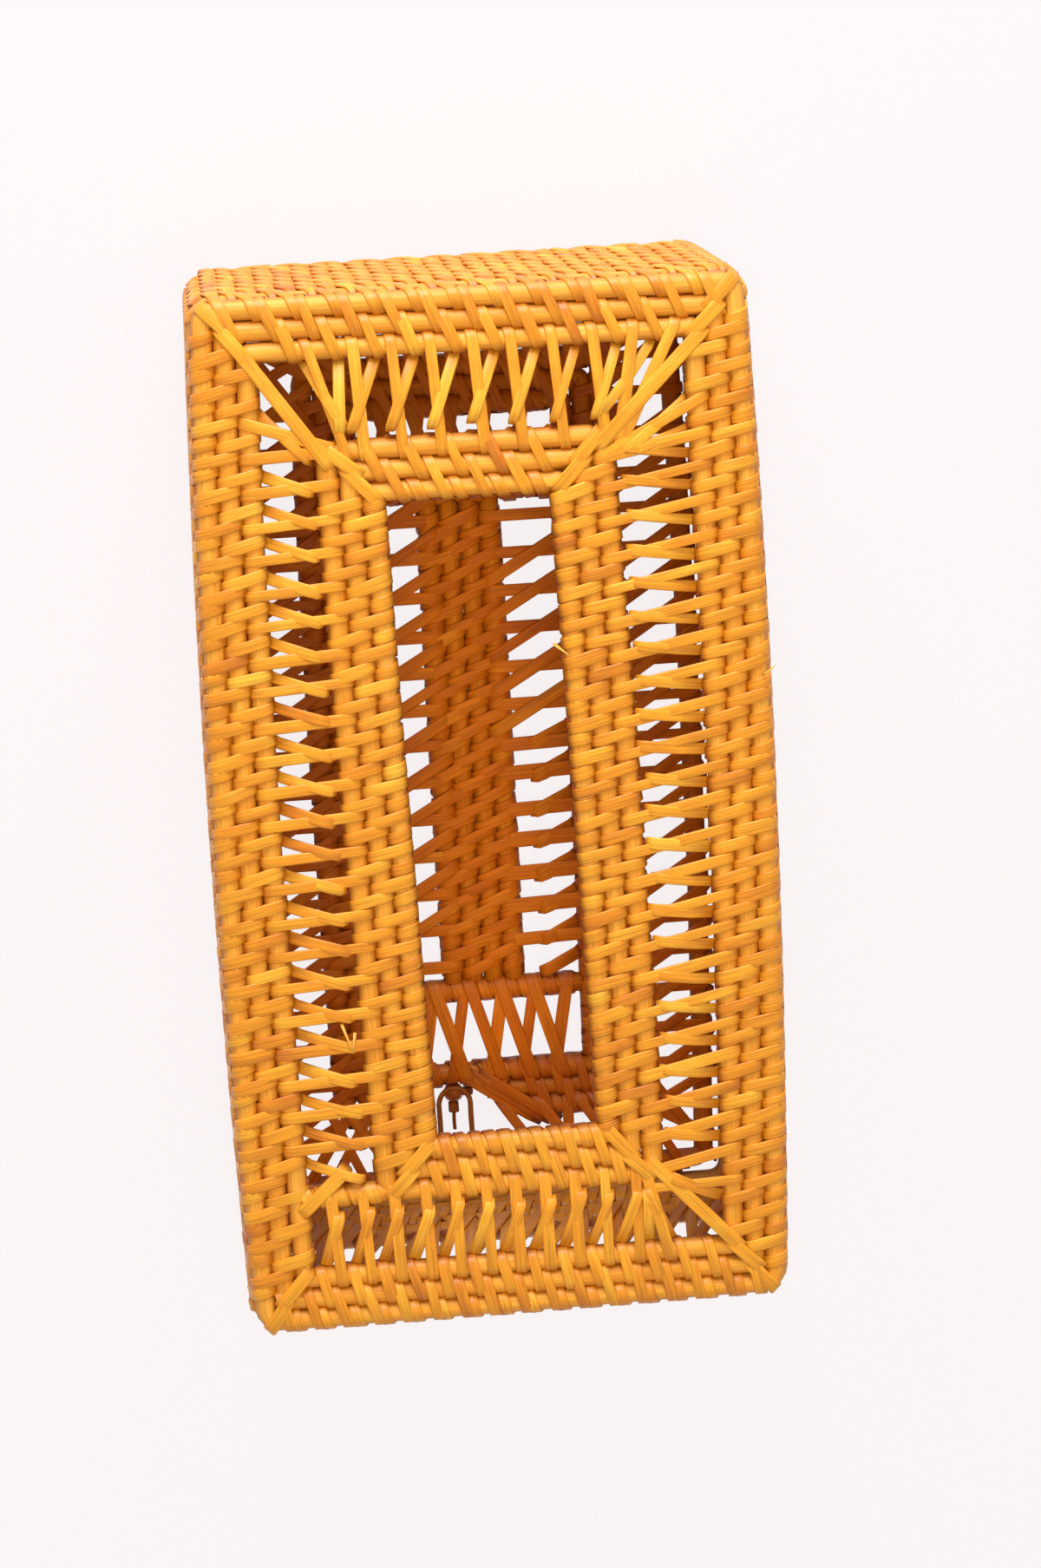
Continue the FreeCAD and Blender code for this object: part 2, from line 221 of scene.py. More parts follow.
@dataclass(frozen=True)
class Ring:
    """A cane bent round the box: half its size between centre lines, its height and its centre."""

    half_x: float
    half_y: float
    z: float
    centre_y: float = 0.0
    corner: float = 3.0

    @classmethod
    def around(cls, node: str, corner: float) -> "Ring":
        """The outermost cane of a rim or band, read from its right and head nodes in the frame."""
        right, head = highest(f"{node}_right"), highest(f"{node}_head")
        return cls(right[0] - CANE_R, head[1] - CANE_R, right[2] - CANE_R, corner=corner)

    def inner(self, steps: int) -> "Ring":
        """The ring that lies so many canes further in, at the same height."""
        less = steps * CANE_PITCH
        corner = max(LEAST_CORNER, self.corner - steps * CORNER_STEP)
        return Ring(self.half_x - less, self.half_y - less, self.z, self.centre_y, corner)

    def section(self, side: Side) -> Section:
        """The section across one side of this ring."""
        return Section(*side.value, (0.0, self.centre_y))

    def spot(self, side: Side) -> Point:
        """Where this ring's cane cuts the section of a side: outward distance and height."""
        return (self.half_x if side.long else self.half_y, self.z)

    def reach(self, side: Side) -> float:
        """Half the length of one side."""
        return self.half_y if side.long else self.half_x

    def bend(self, side_x: int, side_y: int) -> Point:
        """The middle of one rounded corner; the signs say which."""
        less = self.corner * (1 - math.sqrt(0.5))
        return (side_x * (self.half_x - less), self.centre_y + side_y * (self.half_y - less))

    def path(self) -> np.ndarray:
        """Points once round the ring, with rounded corners, closed without repeating the first.

        Returns:
            One row of x, y, z for each point.
        """
        points: list[np.ndarray] = []
        for side in Side:
            out, along = np.array(side.value[0]), np.array(side.value[1])
            off, reach = self.spot(side)[0], self.reach(side) - self.corner
            count = max(2, int(2 * reach / CANE_STEP))
            run = np.linspace(-reach, reach, count)
            points += [out * off + along * u for u in run]
            hub = out * (off - self.corner) + along * reach
            turn = np.radians((22.5, 45.0, 67.5))
            points += [hub + self.corner * (out * math.cos(t) + along * math.sin(t)) for t in turn]
        flat = np.array(points)
        return np.column_stack([flat[:, 0], flat[:, 1] + self.centre_y, np.full(len(flat), self.z)])


@dataclass(frozen=True)
class Line:
    """A strand's line in a section: place, the way its face looks, how deep it dives, its width."""

    a: np.ndarray
    z: np.ndarray
    face_a: np.ndarray
    face_z: np.ndarray
    dive: np.ndarray
    wide: np.ndarray

    @classmethod
    def of(cls, rows: Sequence[Sequence[float]], wide: Sequence[float] | None = None) -> "Line":
        """Make a line from rows of outward, up, face outward, face up and dive.

        Args:
            rows: One row for each point.
            wide: Share of the strand's width at each point, all of it where none is given.

        Returns:
            The line.
        """
        a, z, face_a, face_z, dive = np.array(rows, float).T
        return cls(a, z, face_a, face_z, dive, np.ones(len(a)) if wide is None else np.array(wide))


def over(canes: Sequence[Point], step: Point, face: Point, lift: float = 0.0) -> Line:
    """Line of a strand that comes up before the first cane and goes down after the last.

    Args:
        canes: Centres of the canes it crosses, in order.
        step: Direction from one cane to the next.
        face: Direction in which the strand faces.
        lift: Slack between strand and cane.

    Returns:
        The line, from the gap before the first cane to the gap after the last.
    """
    reach = CANE_R + PEEL_T / 2 + lift
    step_, face_ = np.array(step), np.array(face)
    rows: list[list[float]] = []
    first, last = np.array(canes[0]), np.array(canes[-1])

    def row(spot: np.ndarray, look: np.ndarray, dive: float) -> None:
        """Keep one point of the line."""
        rows.append([*spot, *look, dive])

    row(first - step_ * CANE_PITCH / 2 - face_ * DIP * CANE_R, -step_, 1.0)
    for centre, angles in ((first, CLIMB), (last, [-angle for angle in reversed(CLIMB)])):
        for angle in np.radians(angles):
            look = step_ * math.sin(angle) + face_ * math.cos(angle)
            row(centre + look * reach, look, 0.8 * abs(math.sin(angle)) ** 3)
    row(last + step_ * CANE_PITCH / 2 - face_ * DIP * CANE_R, step_, 1.0)
    return Line.of(rows)


def turned(spots: Sequence[tuple[Point, float]], ends: tuple[Point, Point]) -> Line:
    """Line of a strand bent round several canes by angles, with both ends given.

    Args:
        spots: For each point the cane's centre and the angle from outward, in degrees.
        ends: The first and the last point of the line, where it is out of sight.

    Returns:
        The line.
    """
    reach = CANE_R + PEEL_T / 2
    rows = []
    for centre, angle in spots:
        look = np.array([math.cos(math.radians(angle)), math.sin(math.radians(angle))])
        rows.append([*(np.array(centre) + look * reach), *look, 0.1])
    rows.insert(0, [*ends[0], *rows[0][2:4], 1.0])
    rows.append([*ends[1], *rows[-1][2:4], 1.0])
    return Line.of(rows)


class Pattern:
    """A flat patch of quads, made once with operators and wound or copied along paths."""

    made: dict[tuple[int, int, bool], "Pattern"] = {}

    def __init__(self, rings: int, across: int, thick: bool) -> None:
        """Model the patch.

        Args:
            rings: Points along it.
            across: Faces across it.
            thick: Whether it gets a thickness, as a strand does.
        """
        bpy.ops.object.select_all(action="DESELECT")
        bpy.ops.mesh.primitive_grid_add(x_subdivisions=rings - 1, y_subdivisions=across, size=2.0)
        patch = bpy.context.active_object
        if thick:
            wall = patch.modifiers.new("thickness", "SOLIDIFY")
            wall.thickness = 1.0
            wall.offset = 1.0
            bpy.ops.object.modifier_apply(modifier=wall.name)
        mesh = patch.data
        spots = np.empty(len(mesh.vertices) * 3)
        mesh.vertices.foreach_get("co", spots)
        spots = spots.reshape(-1, 3)
        self.ring = np.rint((spots[:, 0] + 1) / 2 * (rings - 1)).astype(int)
        self.across = spots[:, 1]
        self.up = spots[:, 2]
        self.faces = np.array([tuple(p.vertices) for p in mesh.polygons])
        bpy.data.objects.remove(patch, do_unlink=True)
        bpy.data.meshes.remove(mesh)

    @classmethod
    def get(cls, rings: int, across: int, thick: bool) -> "Pattern":
        """The patch of that size, modelled the first time it is asked for.

        Args:
            rings: Points along it.
            across: Faces across it.
            thick: Whether it has a thickness.

        Returns:
            The patch.
        """
        key = (rings, across, thick)
        if key not in cls.made:
            cls.made[key] = cls(rings, across, thick)
        return cls.made[key]


@dataclass
class Bundle:
    """Canes and strands that are joined into one piece, each with its own grain and tone."""

    name: str
    spots: list[np.ndarray] = field(default_factory=list)
    faces: list[np.ndarray] = field(default_factory=list)
    grain: list[np.ndarray] = field(default_factory=list)
    tone: list[np.ndarray] = field(default_factory=list)
    dive: list[np.ndarray] = field(default_factory=list)
    count: int = 0

    def keep(self, spots: np.ndarray, faces: np.ndarray, grain: np.ndarray, dive: np.ndarray,
             tone: float) -> None:
        """Add one copy.

        Args:
            spots: Its points.
            faces: Its faces, as numbers of its own points.
            grain: Where each point lies along and across the grain, and in which cut of it.
            dive: How far each point lies out of the light, from 0 to 1.
            tone: Its shade.
        """
        self.faces.append(faces + self.count)
        self.spots.append(spots)
        self.grain.append(grain)
        self.dive.append(dive)
        self.tone.append(np.full(len(spots), tone))
        self.count += len(spots)

    def strand(self, section: Section, line: Line, u: np.ndarray, width: float = PEEL_W,
               thick: float = PEEL_T, tone: float | None = None) -> None:
        """Lay one peel strand along a line.

        Args:
            section: The section in which the line is drawn.
            line: The strand's line.
            u: How far along the side each point of the line lies.
            width: Width of the strand.
            thick: Thickness of the strand.
            tone: Shade from 0 to 1, by chance where none is given.
        """
        path = section.place(u, line.a, line.z)
        look = section.direct(line.face_a, line.face_z)
        self.ribbon(path, look, width * line.wide, thick, line.dive, tone)

    def ribbon(self, path: np.ndarray, look: np.ndarray, width: np.ndarray, thick: float,
               dive: np.ndarray, tone: float | None = None) -> None:
        """Lay one peel strand along points in space.

        Args:
            path: Points of its middle line.
            look: The way its face looks at each point.
            width: Its width at each point.
            thick: Its thickness.
            dive: How far each point lies out of the light, from 0 to 1.
            tone: Shade from 0 to 1, by chance where none is given.
        """
        pattern = Pattern.get(len(path), 3, True)
        along = unit(np.gradient(path, axis=0))
        across = unit(np.cross(along, look))
        face = unit(np.cross(across, along))
        j = pattern.ring
        edge = np.abs(pattern.across) > 0.5
        crown = (pattern.up - 0.5) * np.where(edge, EDGE_THIN, 1.0)
        spread = np.sign(pattern.across) * np.where(edge, 1.0, FLAT_SHARE) * width[j] / 2
        spots = path[j] + across[j] * spread[:, None] + face[j] * (crown * thick)[:, None]
        run = np.concatenate([[0.0], np.cumsum(np.linalg.norm(np.diff(path, axis=0), axis=1))])
        grain = np.column_stack([run[j], spread, np.full(len(j), RNG.uniform(0, GRAIN_SPREAD))])
        shade = float(np.clip(RNG.normal(0.5, TONE_SPREAD), 0, 1)) if tone is None else tone
        self.keep(spots, pattern.faces[:, ::-1], grain, dive[j], shade)

    def cane(self, path: np.ndarray, radius: float = CANE_R + CANE_SWELL, closed: bool = True,
             stacked: bool = False) -> None:
        """Wind one round cane along a path, a little uneven as a grown thing is.

        Args:
            path: Points of its centre line.
            radius: Radius of the cane.
            closed: Whether the path closes on itself.
            stacked: Whether its neighbours lie above and below it instead of beside it; the sides facing
                them get painted shade.
        """
        if not closed:
            tips = path[[0, -1]] + CANE_CAP * unit(path[[0, -1]] - path[[1, -2]])
            path = np.vstack([tips[:1], path, tips[1:]])
        pattern = Pattern.get(len(path) + int(closed), CANE_SIDES, False)
        ends = np.roll(path, -1, axis=0) - np.roll(path, 1, axis=0)
        along = unit(ends if closed else np.gradient(path, axis=0))
        upward = np.tile([0.0, 0.0, 1.0], (len(path), 1))
        across = unit(np.cross(upward, along))
        face = np.cross(along, across)
        turn = np.linspace(0, 2 * math.pi, len(path), endpoint=not closed)
        waves = [(RNG.integers(4, 19), RNG.uniform(0, 6.28), RNG.uniform(*WAVE_SIZES))
                 for _ in range(CANE_WAVES)]
        sway = sum(size * np.sin(n * turn + phase) for n, phase, size in waves)
        lift = sum(size * np.cos(n * turn + 2 * phase) for n, phase, size in waves)
        swell = 1.0 + 0.25 * (sway + lift) / radius
        if not closed:
            swell[[0, -1]] = 0.05
        middle = path + across * sway[:, None] + face * lift[:, None] * 0.5
        j = pattern.ring % len(path)
        spin = (pattern.across + 1.0) * math.pi
        out = across[j] * np.cos(spin)[:, None] + face[j] * np.sin(spin)[:, None]
        spots = middle[j] + out * (radius * swell[j])[:, None]
        run = np.concatenate([[0.0], np.cumsum(np.linalg.norm(np.diff(path, axis=0), axis=1))])
        run = np.append(run, run[-1] + CANE_STEP)[pattern.ring]
        grain = np.column_stack([run, spin * radius, np.full(len(j), RNG.uniform(0, GRAIN_SPREAD))])
        # Painted shade: the sides that face the neighbouring canes are darkened, where they lie in shade.
        shade_between_canes = 0.7 * np.abs(np.sin(spin) if stacked else np.cos(spin)) ** 5
        self.keep(spots, pattern.faces, grain, shade_between_canes, float(RNG.uniform(0.3, 0.7)))

    def piece(self, finish: "Finish", body: str, slot: str, *nodes: str) -> None:
        """Join the bundle into an object that stands for CAD nodes and rides on a body.

        Args:
            finish: The finish it wears.
            body: The CAD body it moves with.
            slot: A material slot's name; not used.
            nodes: CAD nodes that it replaces.
        """
        mesh = bpy.data.meshes.new(self.name)
        spots = settle(np.concatenate(self.spots), body) * METRE
        faces = np.concatenate(self.faces)
        mesh.from_pydata(spots.tolist(), [], faces.tolist())
        grain = mesh.attributes.new("grain", "FLOAT_VECTOR", "POINT")
        grain.data.foreach_set("vector", np.concatenate(self.grain).ravel())
        for name, parts in (("tone", self.tone), ("dive", self.dive)):
            layer = mesh.attributes.new(name, "FLOAT", "POINT")
            layer.data.foreach_set("value", np.concatenate(parts))
        mesh.polygons.foreach_set("use_smooth", np.ones(len(faces), bool))
        mesh.materials.append(finish.material())
        mesh.update()
        piece = bpy.data.objects.new(self.name, mesh)
        bpy.context.scene.collection.objects.link(piece)
        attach(piece, body)
        if nodes:
            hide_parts(*nodes)
        log.info("%s: %d faces", self.name, len(faces))


def linear(hex_colour: str) -> tuple[float, float, float, float]:
    """Turn an sRGB hex colour into linear values."""
    parts = [int(hex_colour[i:i + 2], 16) / 255 for i in (1, 3, 5)]
    return (*(c / 12.92 if c <= 0.04045 else ((c + 0.055) / 1.055) ** 2.4 for c in parts), 1.0)


def add(tree: bpy.types.NodeTree, kind: str, inputs: dict[Any, Any] | None = None,
        **settings: Any) -> bpy.types.Node:
    """Add a node with its settings, and fill or link its inputs.

    Args:
        tree: The tree it goes in.
        kind: The node's type.
        inputs: Values or sockets by input name or number.
        settings: Properties of the node.

    Returns:
        The new node.
    """
    node = tree.nodes.new(kind)
    for name, value in settings.items():
        setattr(node, name, value)
    for name, value in (inputs or {}).items():
        if isinstance(value, bpy.types.NodeSocket):
            tree.links.new(value, node.inputs[name])
        else:
            node.inputs[name].default_value = value
    return node


@dataclass(frozen=True)
class Finish:
    """A fibrous finish, such as rattan, wood or cord.

    Attributes:
        name: The real material, how its surface was made, and any painted shade.
        tones: Colours from the darkest piece to the palest.
        shadow: Colour where a strand goes out of the light.
        fibre_mm: Width of a fibre.
        fibre_run_mm: Length of a fibre.
        blotch_mm: Length of a patch of one shade.
        contrast: How much the darkest fibres are darkened.
        relief_mm: Height of a fibre.
        rough: Roughness, on the whole.
        coat: Weight of the varnish or wax on top.
    """

    name: str
    tones: tuple[str, str, str, str]
    shadow: str
    fibre_mm: float
    fibre_run_mm: float
    blotch_mm: float
    contrast: float
    relief_mm: float
    rough: float
    coat: float

    def material(self) -> bpy.types.Material:
        """Make the material the first time it is asked for.

        Returns:
            The material.
        """
        if self.name in bpy.data.materials:
            return bpy.data.materials[self.name]
        material = bpy.data.materials.new(self.name)
        material.use_nodes = True
        tree = material.node_tree
        shader = tree.nodes["Principled BSDF"]
        tone = add(tree, "ShaderNodeAttribute", attribute_name="tone")
        dive = add(tree, "ShaderNodeAttribute", attribute_name="dive")
        grain = add(tree, "ShaderNodeAttribute", attribute_name="grain")
        fibre_scale = (1 / self.fibre_run_mm, 1 / self.fibre_mm, 1.0)
        fibre_at = add(tree, "ShaderNodeVectorMath", {0: grain.outputs["Vector"], 1: fibre_scale},
                       operation="MULTIPLY")
        fibre = add(tree, "ShaderNodeTexNoise",
                    {"Vector": fibre_at.outputs[0], "Scale": 1.0, "Detail": 3.0})
        blotch_scale = (1 / self.blotch_mm, 2.5 / self.blotch_mm, 1.0)
        blotch_at = add(tree, "ShaderNodeVectorMath", {0: grain.outputs["Vector"], 1: blotch_scale},
                        operation="MULTIPLY")
        blotch = add(tree, "ShaderNodeTexNoise",
                     {"Vector": blotch_at.outputs[0], "Scale": 1.0, "Detail": 2.0})
        mixed = add(tree, "ShaderNodeMath", {0: blotch.outputs["Fac"], 1: 0.9, 2: tone.outputs["Fac"]},
                    operation="MULTIPLY_ADD")
        lowered = add(tree, "ShaderNodeMath", {0: mixed.outputs[0], 1: 0.45}, operation="SUBTRACT")
        ramp = add(tree, "ShaderNodeValToRGB", {"Fac": lowered.outputs[0]})
        stops = ramp.color_ramp.elements
        stops[0].color, stops[1].color = linear(self.tones[0]), linear(self.tones[3])
        stops[0].position, stops[1].position = 0.05, 0.95
        stops.new(0.35).color = linear(self.tones[1])
        stops.new(0.65).color = linear(self.tones[2])
        streak = add(tree, "ShaderNodeMapRange",
                     {"Value": fibre.outputs["Fac"], "From Min": 0.3, "From Max": 0.7,
                      "To Min": 1.0 - self.contrast, "To Max": 1.0 + 0.35 * self.contrast})
        grained = add(tree, "ShaderNodeVectorMath",
                      {0: ramp.outputs["Color"], "Scale": streak.outputs[0]}, operation="SCALE")
        shaded = add(tree, "ShaderNodeMix", {0: dive.outputs["Fac"], 6: grained.outputs[0],
                                             7: linear(self.shadow)}, data_type="RGBA")
        bump = add(tree, "ShaderNodeBump", {"Strength": 0.6, "Distance": self.relief_mm * METRE,
                                            "Height": fibre.outputs["Fac"]})
        rough = add(tree, "ShaderNodeMapRange",
                    {"Value": blotch.outputs["Fac"], "To Min": self.rough - 0.08,
                     "To Max": self.rough + 0.12})
        tree.links.new(shaded.outputs[2], shader.inputs["Base Color"])
        tree.links.new(rough.outputs[0], shader.inputs["Roughness"])
        tree.links.new(bump.outputs[0], shader.inputs["Normal"])
        shader.inputs["Specular IOR Level"].default_value = 0.55
        shader.inputs["Coat Weight"].default_value = self.coat
        shader.inputs["Coat Roughness"].default_value = 0.28
        return material


# Split outer peel of rattan, stained and varnished: satin, golden to amber, long fibres show.
PEEL = Finish("varnished_split_rattan_peel", ("#cf7410", "#e88f17", "#f2a020", "#fab632"),
              "#8a3602", fibre_mm=0.42, fibre_run_mm=16.0, blotch_mm=9.0,
              contrast=0.34, relief_mm=0.12, rough=0.45, coat=0.08)
# The same peel on the flap, with darker, deeper orange tones as painted shade, standing for the shade
# inside the box; nearly matt.
SHADED_LACING = Finish("varnished_split_rattan_lacing", ("#c95f06", "#dc6e08", "#e67a0c", "#ef8c16"),
                "#7a3404", fibre_mm=0.42, fibre_run_mm=16.0, blotch_mm=9.0,
                contrast=0.3, relief_mm=0.12, rough=0.55, coat=0.05)
# Round rattan core drawn through a die: paler and drier than the peel, with long pores.
CANE = Finish("varnished_round_rattan_core", ("#d67e16", "#ea9626", "#f2a634", "#f8b84c"),
              "#8a3a04", fibre_mm=0.4, fibre_run_mm=34.0, blotch_mm=14.0,
              contrast=0.26, relief_mm=0.07, rough=0.55, coat=0.05)
# The same core on the flap, with darker tones as painted shade, standing for the shade inside the box.
SHADED_FLAP_CANE = Finish("stained_round_rattan_core", ("#c8660a", "#d9750e", "#e38214", "#ed921e"),
                   "#7a3a06", fibre_mm=0.4, fibre_run_mm=34.0, blotch_mm=14.0,
                   contrast=0.26, relief_mm=0.07, rough=0.6, coat=0.03)
# Turned wooden bead: close grained, red brown and waxed.
BEAD = Finish("turned_waxed_wood", ("#9a470c", "#b25610", "#c06416", "#ce7420"),
              "#4a2006", fibre_mm=0.5, fibre_run_mm=3.0, blotch_mm=4.0,
              contrast=0.25, relief_mm=0.05, rough=0.35, coat=0.2)
# Twisted cotton cord of the closure: matt, brown, with short fibres.
CORD = Finish("twisted_cotton_cord", ("#8c4812", "#a45818", "#b46622", "#c4762e"),
              "#3a1c06", fibre_mm=0.5, fibre_run_mm=0.9, blotch_mm=5.0,
              contrast=0.35, relief_mm=0.15, rough=0.85, coat=0.0)


def lean(line: Line, centre: float, slope: float) -> np.ndarray:
    """Distances along the side for a strand that leans as it goes along its line.

    Args:
        line: The strand's line.
        centre: Where its middle lies.
        slope: Movement along the side per length of line.

    Returns:
        One distance for each point of the line.
    """
    run = np.hypot(np.diff(line.a), np.diff(line.z))
    run = np.concatenate([[0.0], np.cumsum(run)])
    return centre + slope * (run - run[-1] / 2)


def repeats(reach: float, pitch: float, phase: float, shy: float = 2.2) -> np.ndarray:
    """Places of a strand's repeats along a side, a little by chance.

    Args:
        reach: Half the length of the side.
        pitch: Distance from one repeat to the next.
        phase: Share of the pitch by which the row is set over.
        shy: How far the row stays from both ends.

    Returns:
        The distances from the middle of the side.
    """
    most = int(reach / pitch) + 1
    places = (np.arange(-most, most + 1) + phase) * pitch
    places = places[np.abs(places) <= reach - shy]
    return places + RNG.normal(0.0, 0.22, len(places))


def slope_for(side: Side) -> float:
    """Lean of the strands on a side: they move forward as they go outward."""
    degrees = HEAD_LEAN if side is Side.HEAD else USUAL_LEAN
    return math.tan(math.radians(degrees)) + RNG.normal(0.0, 0.035)


def width(usual: float = PEEL_W) -> float:
    """Width of one strand; no two are split quite alike."""
    return usual * RNG.uniform(0.88, 1.1)


def anywhere(_: float) -> bool:
    """The rule for a weave without a break."""
    return True


@dataclass
class Band:
    """A flat band of canes along one side, bound with strands over two canes and under one.

    Attributes:
        rings: Its canes, in order.
        side: The side of the box.
        step: Direction from one cane to the next, in the section.
        face: Direction in which the strands face.
        pitch: Distance between repeats.
        turn: Share of the usual lean along the step, below 0 where strands lean back.
    """

    rings: Sequence[Ring]
    side: Side
    step: Point
    face: Point
    pitch: float
    turn: float = 1.0

    @property
    def section(self) -> Section:
        """The section across the band's side."""
        return self.rings[0].section(self.side)

    def bars(self, into: Bundle, first: int, last: int, phase: float, shy: float = 2.2,
             where: Callable[[float], bool] = anywhere) -> None:
        """Bind canes first to last with one strand in each repeat.

        Args:
            into: The bundle that takes the strands.
            first: Number of the first cane.
            last: Number of the last cane.
            phase: Share of the pitch by which the row is set over.
            shy: How far the row stays from the ends of the side.
            where: Whether there is a strand at a distance along the side.
        """
        reach = min(self.rings[first].reach(self.side), self.rings[last].reach(self.side))
        spots = [ring.spot(self.side) for ring in self.rings[first:last + 1]]
        for u in filter(where, repeats(reach, self.pitch, phase, shy)):
            line = over(spots, self.step, self.face, RNG.uniform(0.0, 0.15))
            slant = lean(line, u, self.turn * slope_for(self.side))
            into.strand(self.section, line, slant, width(self.side.peel_w))

    def twill(self, into: Bundle) -> None:
        """Bind the whole band: pairs of canes, set over by one cane in every second row.

        Args:
            into: The bundle that takes the strands.
        """
        last = len(self.rings) - 1
        for row in (0, 1):
            if row == 1:
                self.bars(into, 0, 0, 0.5)
            for first in range(row, last + 1, 2):
                self.bars(into, first, min(first + 1, last), 0.5 * row)


class Ending(Enum):
    """How the slanting strand of a lacing pair ends at the inner cane."""

    TUCKED = "round its partner, short of the cane"
    OVER = "over the cane"


@dataclass
class Lattice:
    """Open lacing between two canes: pairs of a straight strand and one that slants across it.

    Attributes:
        outer: The cane that the strands come from.
        inner: The cane that they go to.
        side: The side of the box.
        pitch: Distance from one pair to the next.
        ending: How the slanting strand ends.
        straight_shift: How far the straight strand moves along the side on its way.
        cross_start: Where the slanting strand starts beside its partner, as a share of the pitch.
        cross_at: Share of the gap at which it crosses its partner.
        where: Whether there is a strand at a distance along the side.
        run_on: How far the inner cane runs on at the low end of the side.
        strand_w: Width of the strands.
        full_fan: Whether no strand is left out past the inner cane at the low end.
    """

    outer: Ring
    inner: Ring
    side: Side
    pitch: float
    ending: Ending
    straight_shift: float
    cross_start: float
    cross_at: float
    where: Callable[[float], bool] = anywhere
    run_on: float = 0.0
    strand_w: float = LACE_W
    full_fan: bool = False

    def near(self, u: float) -> float:
        """How far the inner cane reaches at that end of the side."""
        return self.inner.reach(self.side) + (self.run_on if u < 0 else 0.0)

    def fan(self, u: float) -> float:
        """Where a strand that leaves the outer cane at u meets the inner one."""
        near = self.near(u) - 1.0
        return u if abs(u) < near else math.copysign(near + 0.1 * (abs(u) - near), u)

    def places(self, phase: float) -> list[float]:
        """Places of a row of strands; past the end of the inner cane every second one is left out.

        Args:
            phase: Share of the pitch by which the row is set over.

        Returns:
            The distances from the middle of the side.
        """
        kept = []
        for u in repeats(self.outer.reach(self.side), self.pitch, phase, 3.0):
            near = self.near(u)
            past = round((abs(u) - near) / self.pitch)
            fanned = past % 2 == 1 or (self.full_fan and u < 0)
            if self.where(u) and (abs(u) <= near or fanned):
                kept.append(float(u))
        return kept

    def lay(self, into: Bundle) -> None:
        """Lay all strands of this side.

        Args:
            into: The bundle that takes the strands.
        """
        shift = self.outer.centre_y - self.inner.centre_y
        (_, out_y), (_, along_y) = self.side.value
        offset, level = self.outer.spot(self.side)
        outer = (offset + shift * out_y, level)
        skew = shift * along_y
        for u in self.places(0.0):
            self.straight(into, outer, u + skew, self.fan(u + skew))
        for u in self.places(self.cross_start):
            partner = self.fan(u - self.cross_start * self.pitch + skew)
            if self.ending is Ending.OVER:
                self.slanting(into, outer, u + skew, partner)
            else:
                self.tucked(into, outer, u + skew, partner)

    def straight(self, into: Bundle, outer: Point, start: float, end: float) -> None:
        """Lay a strand over the outer cane, across the gap and over the inner cane.

        Args:
            into: The bundle that takes the strand.
            outer: The outer cane's centre, in the section.
            start: Where it lies at the outer cane.
            end: Where it lies at the inner cane, before it shifts.
        """
        inner = self.inner.spot(self.side)
        line = over([outer, inner], INWARD, UP, RNG.uniform(0.0, 0.1))
        share = (outer[0] - line.a) / (outer[0] - inner[0])
        u = start + (end + self.straight_shift - start) * share + RNG.normal(0, 0.2)
        into.strand(self.inner.section(self.side), line, u, width(self.strand_w))

    def slanting(self, into: Bundle, outer: Point, start: float, partner: float) -> None:
        """Lay a strand from cane to cane that slants across its partner.

        Args:
            into: The bundle that takes the strand.
            outer: The outer cane's centre, in the section.
            start: Where it lies at the outer cane.
            partner: Where its partner meets the inner cane, before it shifts.
        """
        inner = self.inner.spot(self.side)
        line = over([outer, inner], INWARD, UP, PEEL_T)
        share = (outer[0] - line.a) / (outer[0] - inner[0])
        slope = (partner + self.straight_shift * self.cross_at - start) / self.cross_at
        into.strand(self.inner.section(self.side), line, start + slope * share, width(self.strand_w))

    def tucked(self, into: Bundle, outer: Point, start: float, partner: float) -> None:
        """Lay a strand from under the outer cane across its partner, to a rounded end round it.

        Args:
            into: The bundle that takes the strand.
            outer: The outer cane's centre, in the section.
            start: Where it lies at the outer cane.
            partner: Where its partner meets the inner cane, before it shifts.
        """
        gap = outer[0] - self.inner.spot(self.side)[0]
        top = CANE_R + PEEL_T / 2
        clear = top + PEEL_T
        at = self.cross_at + RNG.normal(0, 0.025)
        shares = (0.02, 0.11, 0.17, 0.4, at, at + 0.1, at + 0.15, at + 0.13)
        rises = (-0.9 * top, -0.4 * top, 0.25 * top, 0.9 * top, clear, 0.95 * clear, 0.65 * top, 0.0)
        dives = (1.0, 0.6, 0.2, 0.0, 0.0, 0.0, 0.1, 1.0)
        rows = [[outer[0] - gap * share, outer[1] + rise, 0.0, 1.0, dive]
                for share, rise, dive in zip(shares, rises, dives)]
        rows[-2][2:4] = [-0.6, 0.8]
        rows[-1][2:4] = [-1.0, 0.2]
        line = Line.of(rows, (1, 1, 1, 1, 1, 0.98, 0.76, 0.4))
        slope = (partner + self.straight_shift * at - start) / at
        u = start + slope * np.array(shares) + RNG.normal(0, 0.2)
        tone = float(np.clip(RNG.normal(0.6, 0.12), 0, 1))
        into.strand(self.inner.section(self.side), line, u, width(self.strand_w), tone=tone)


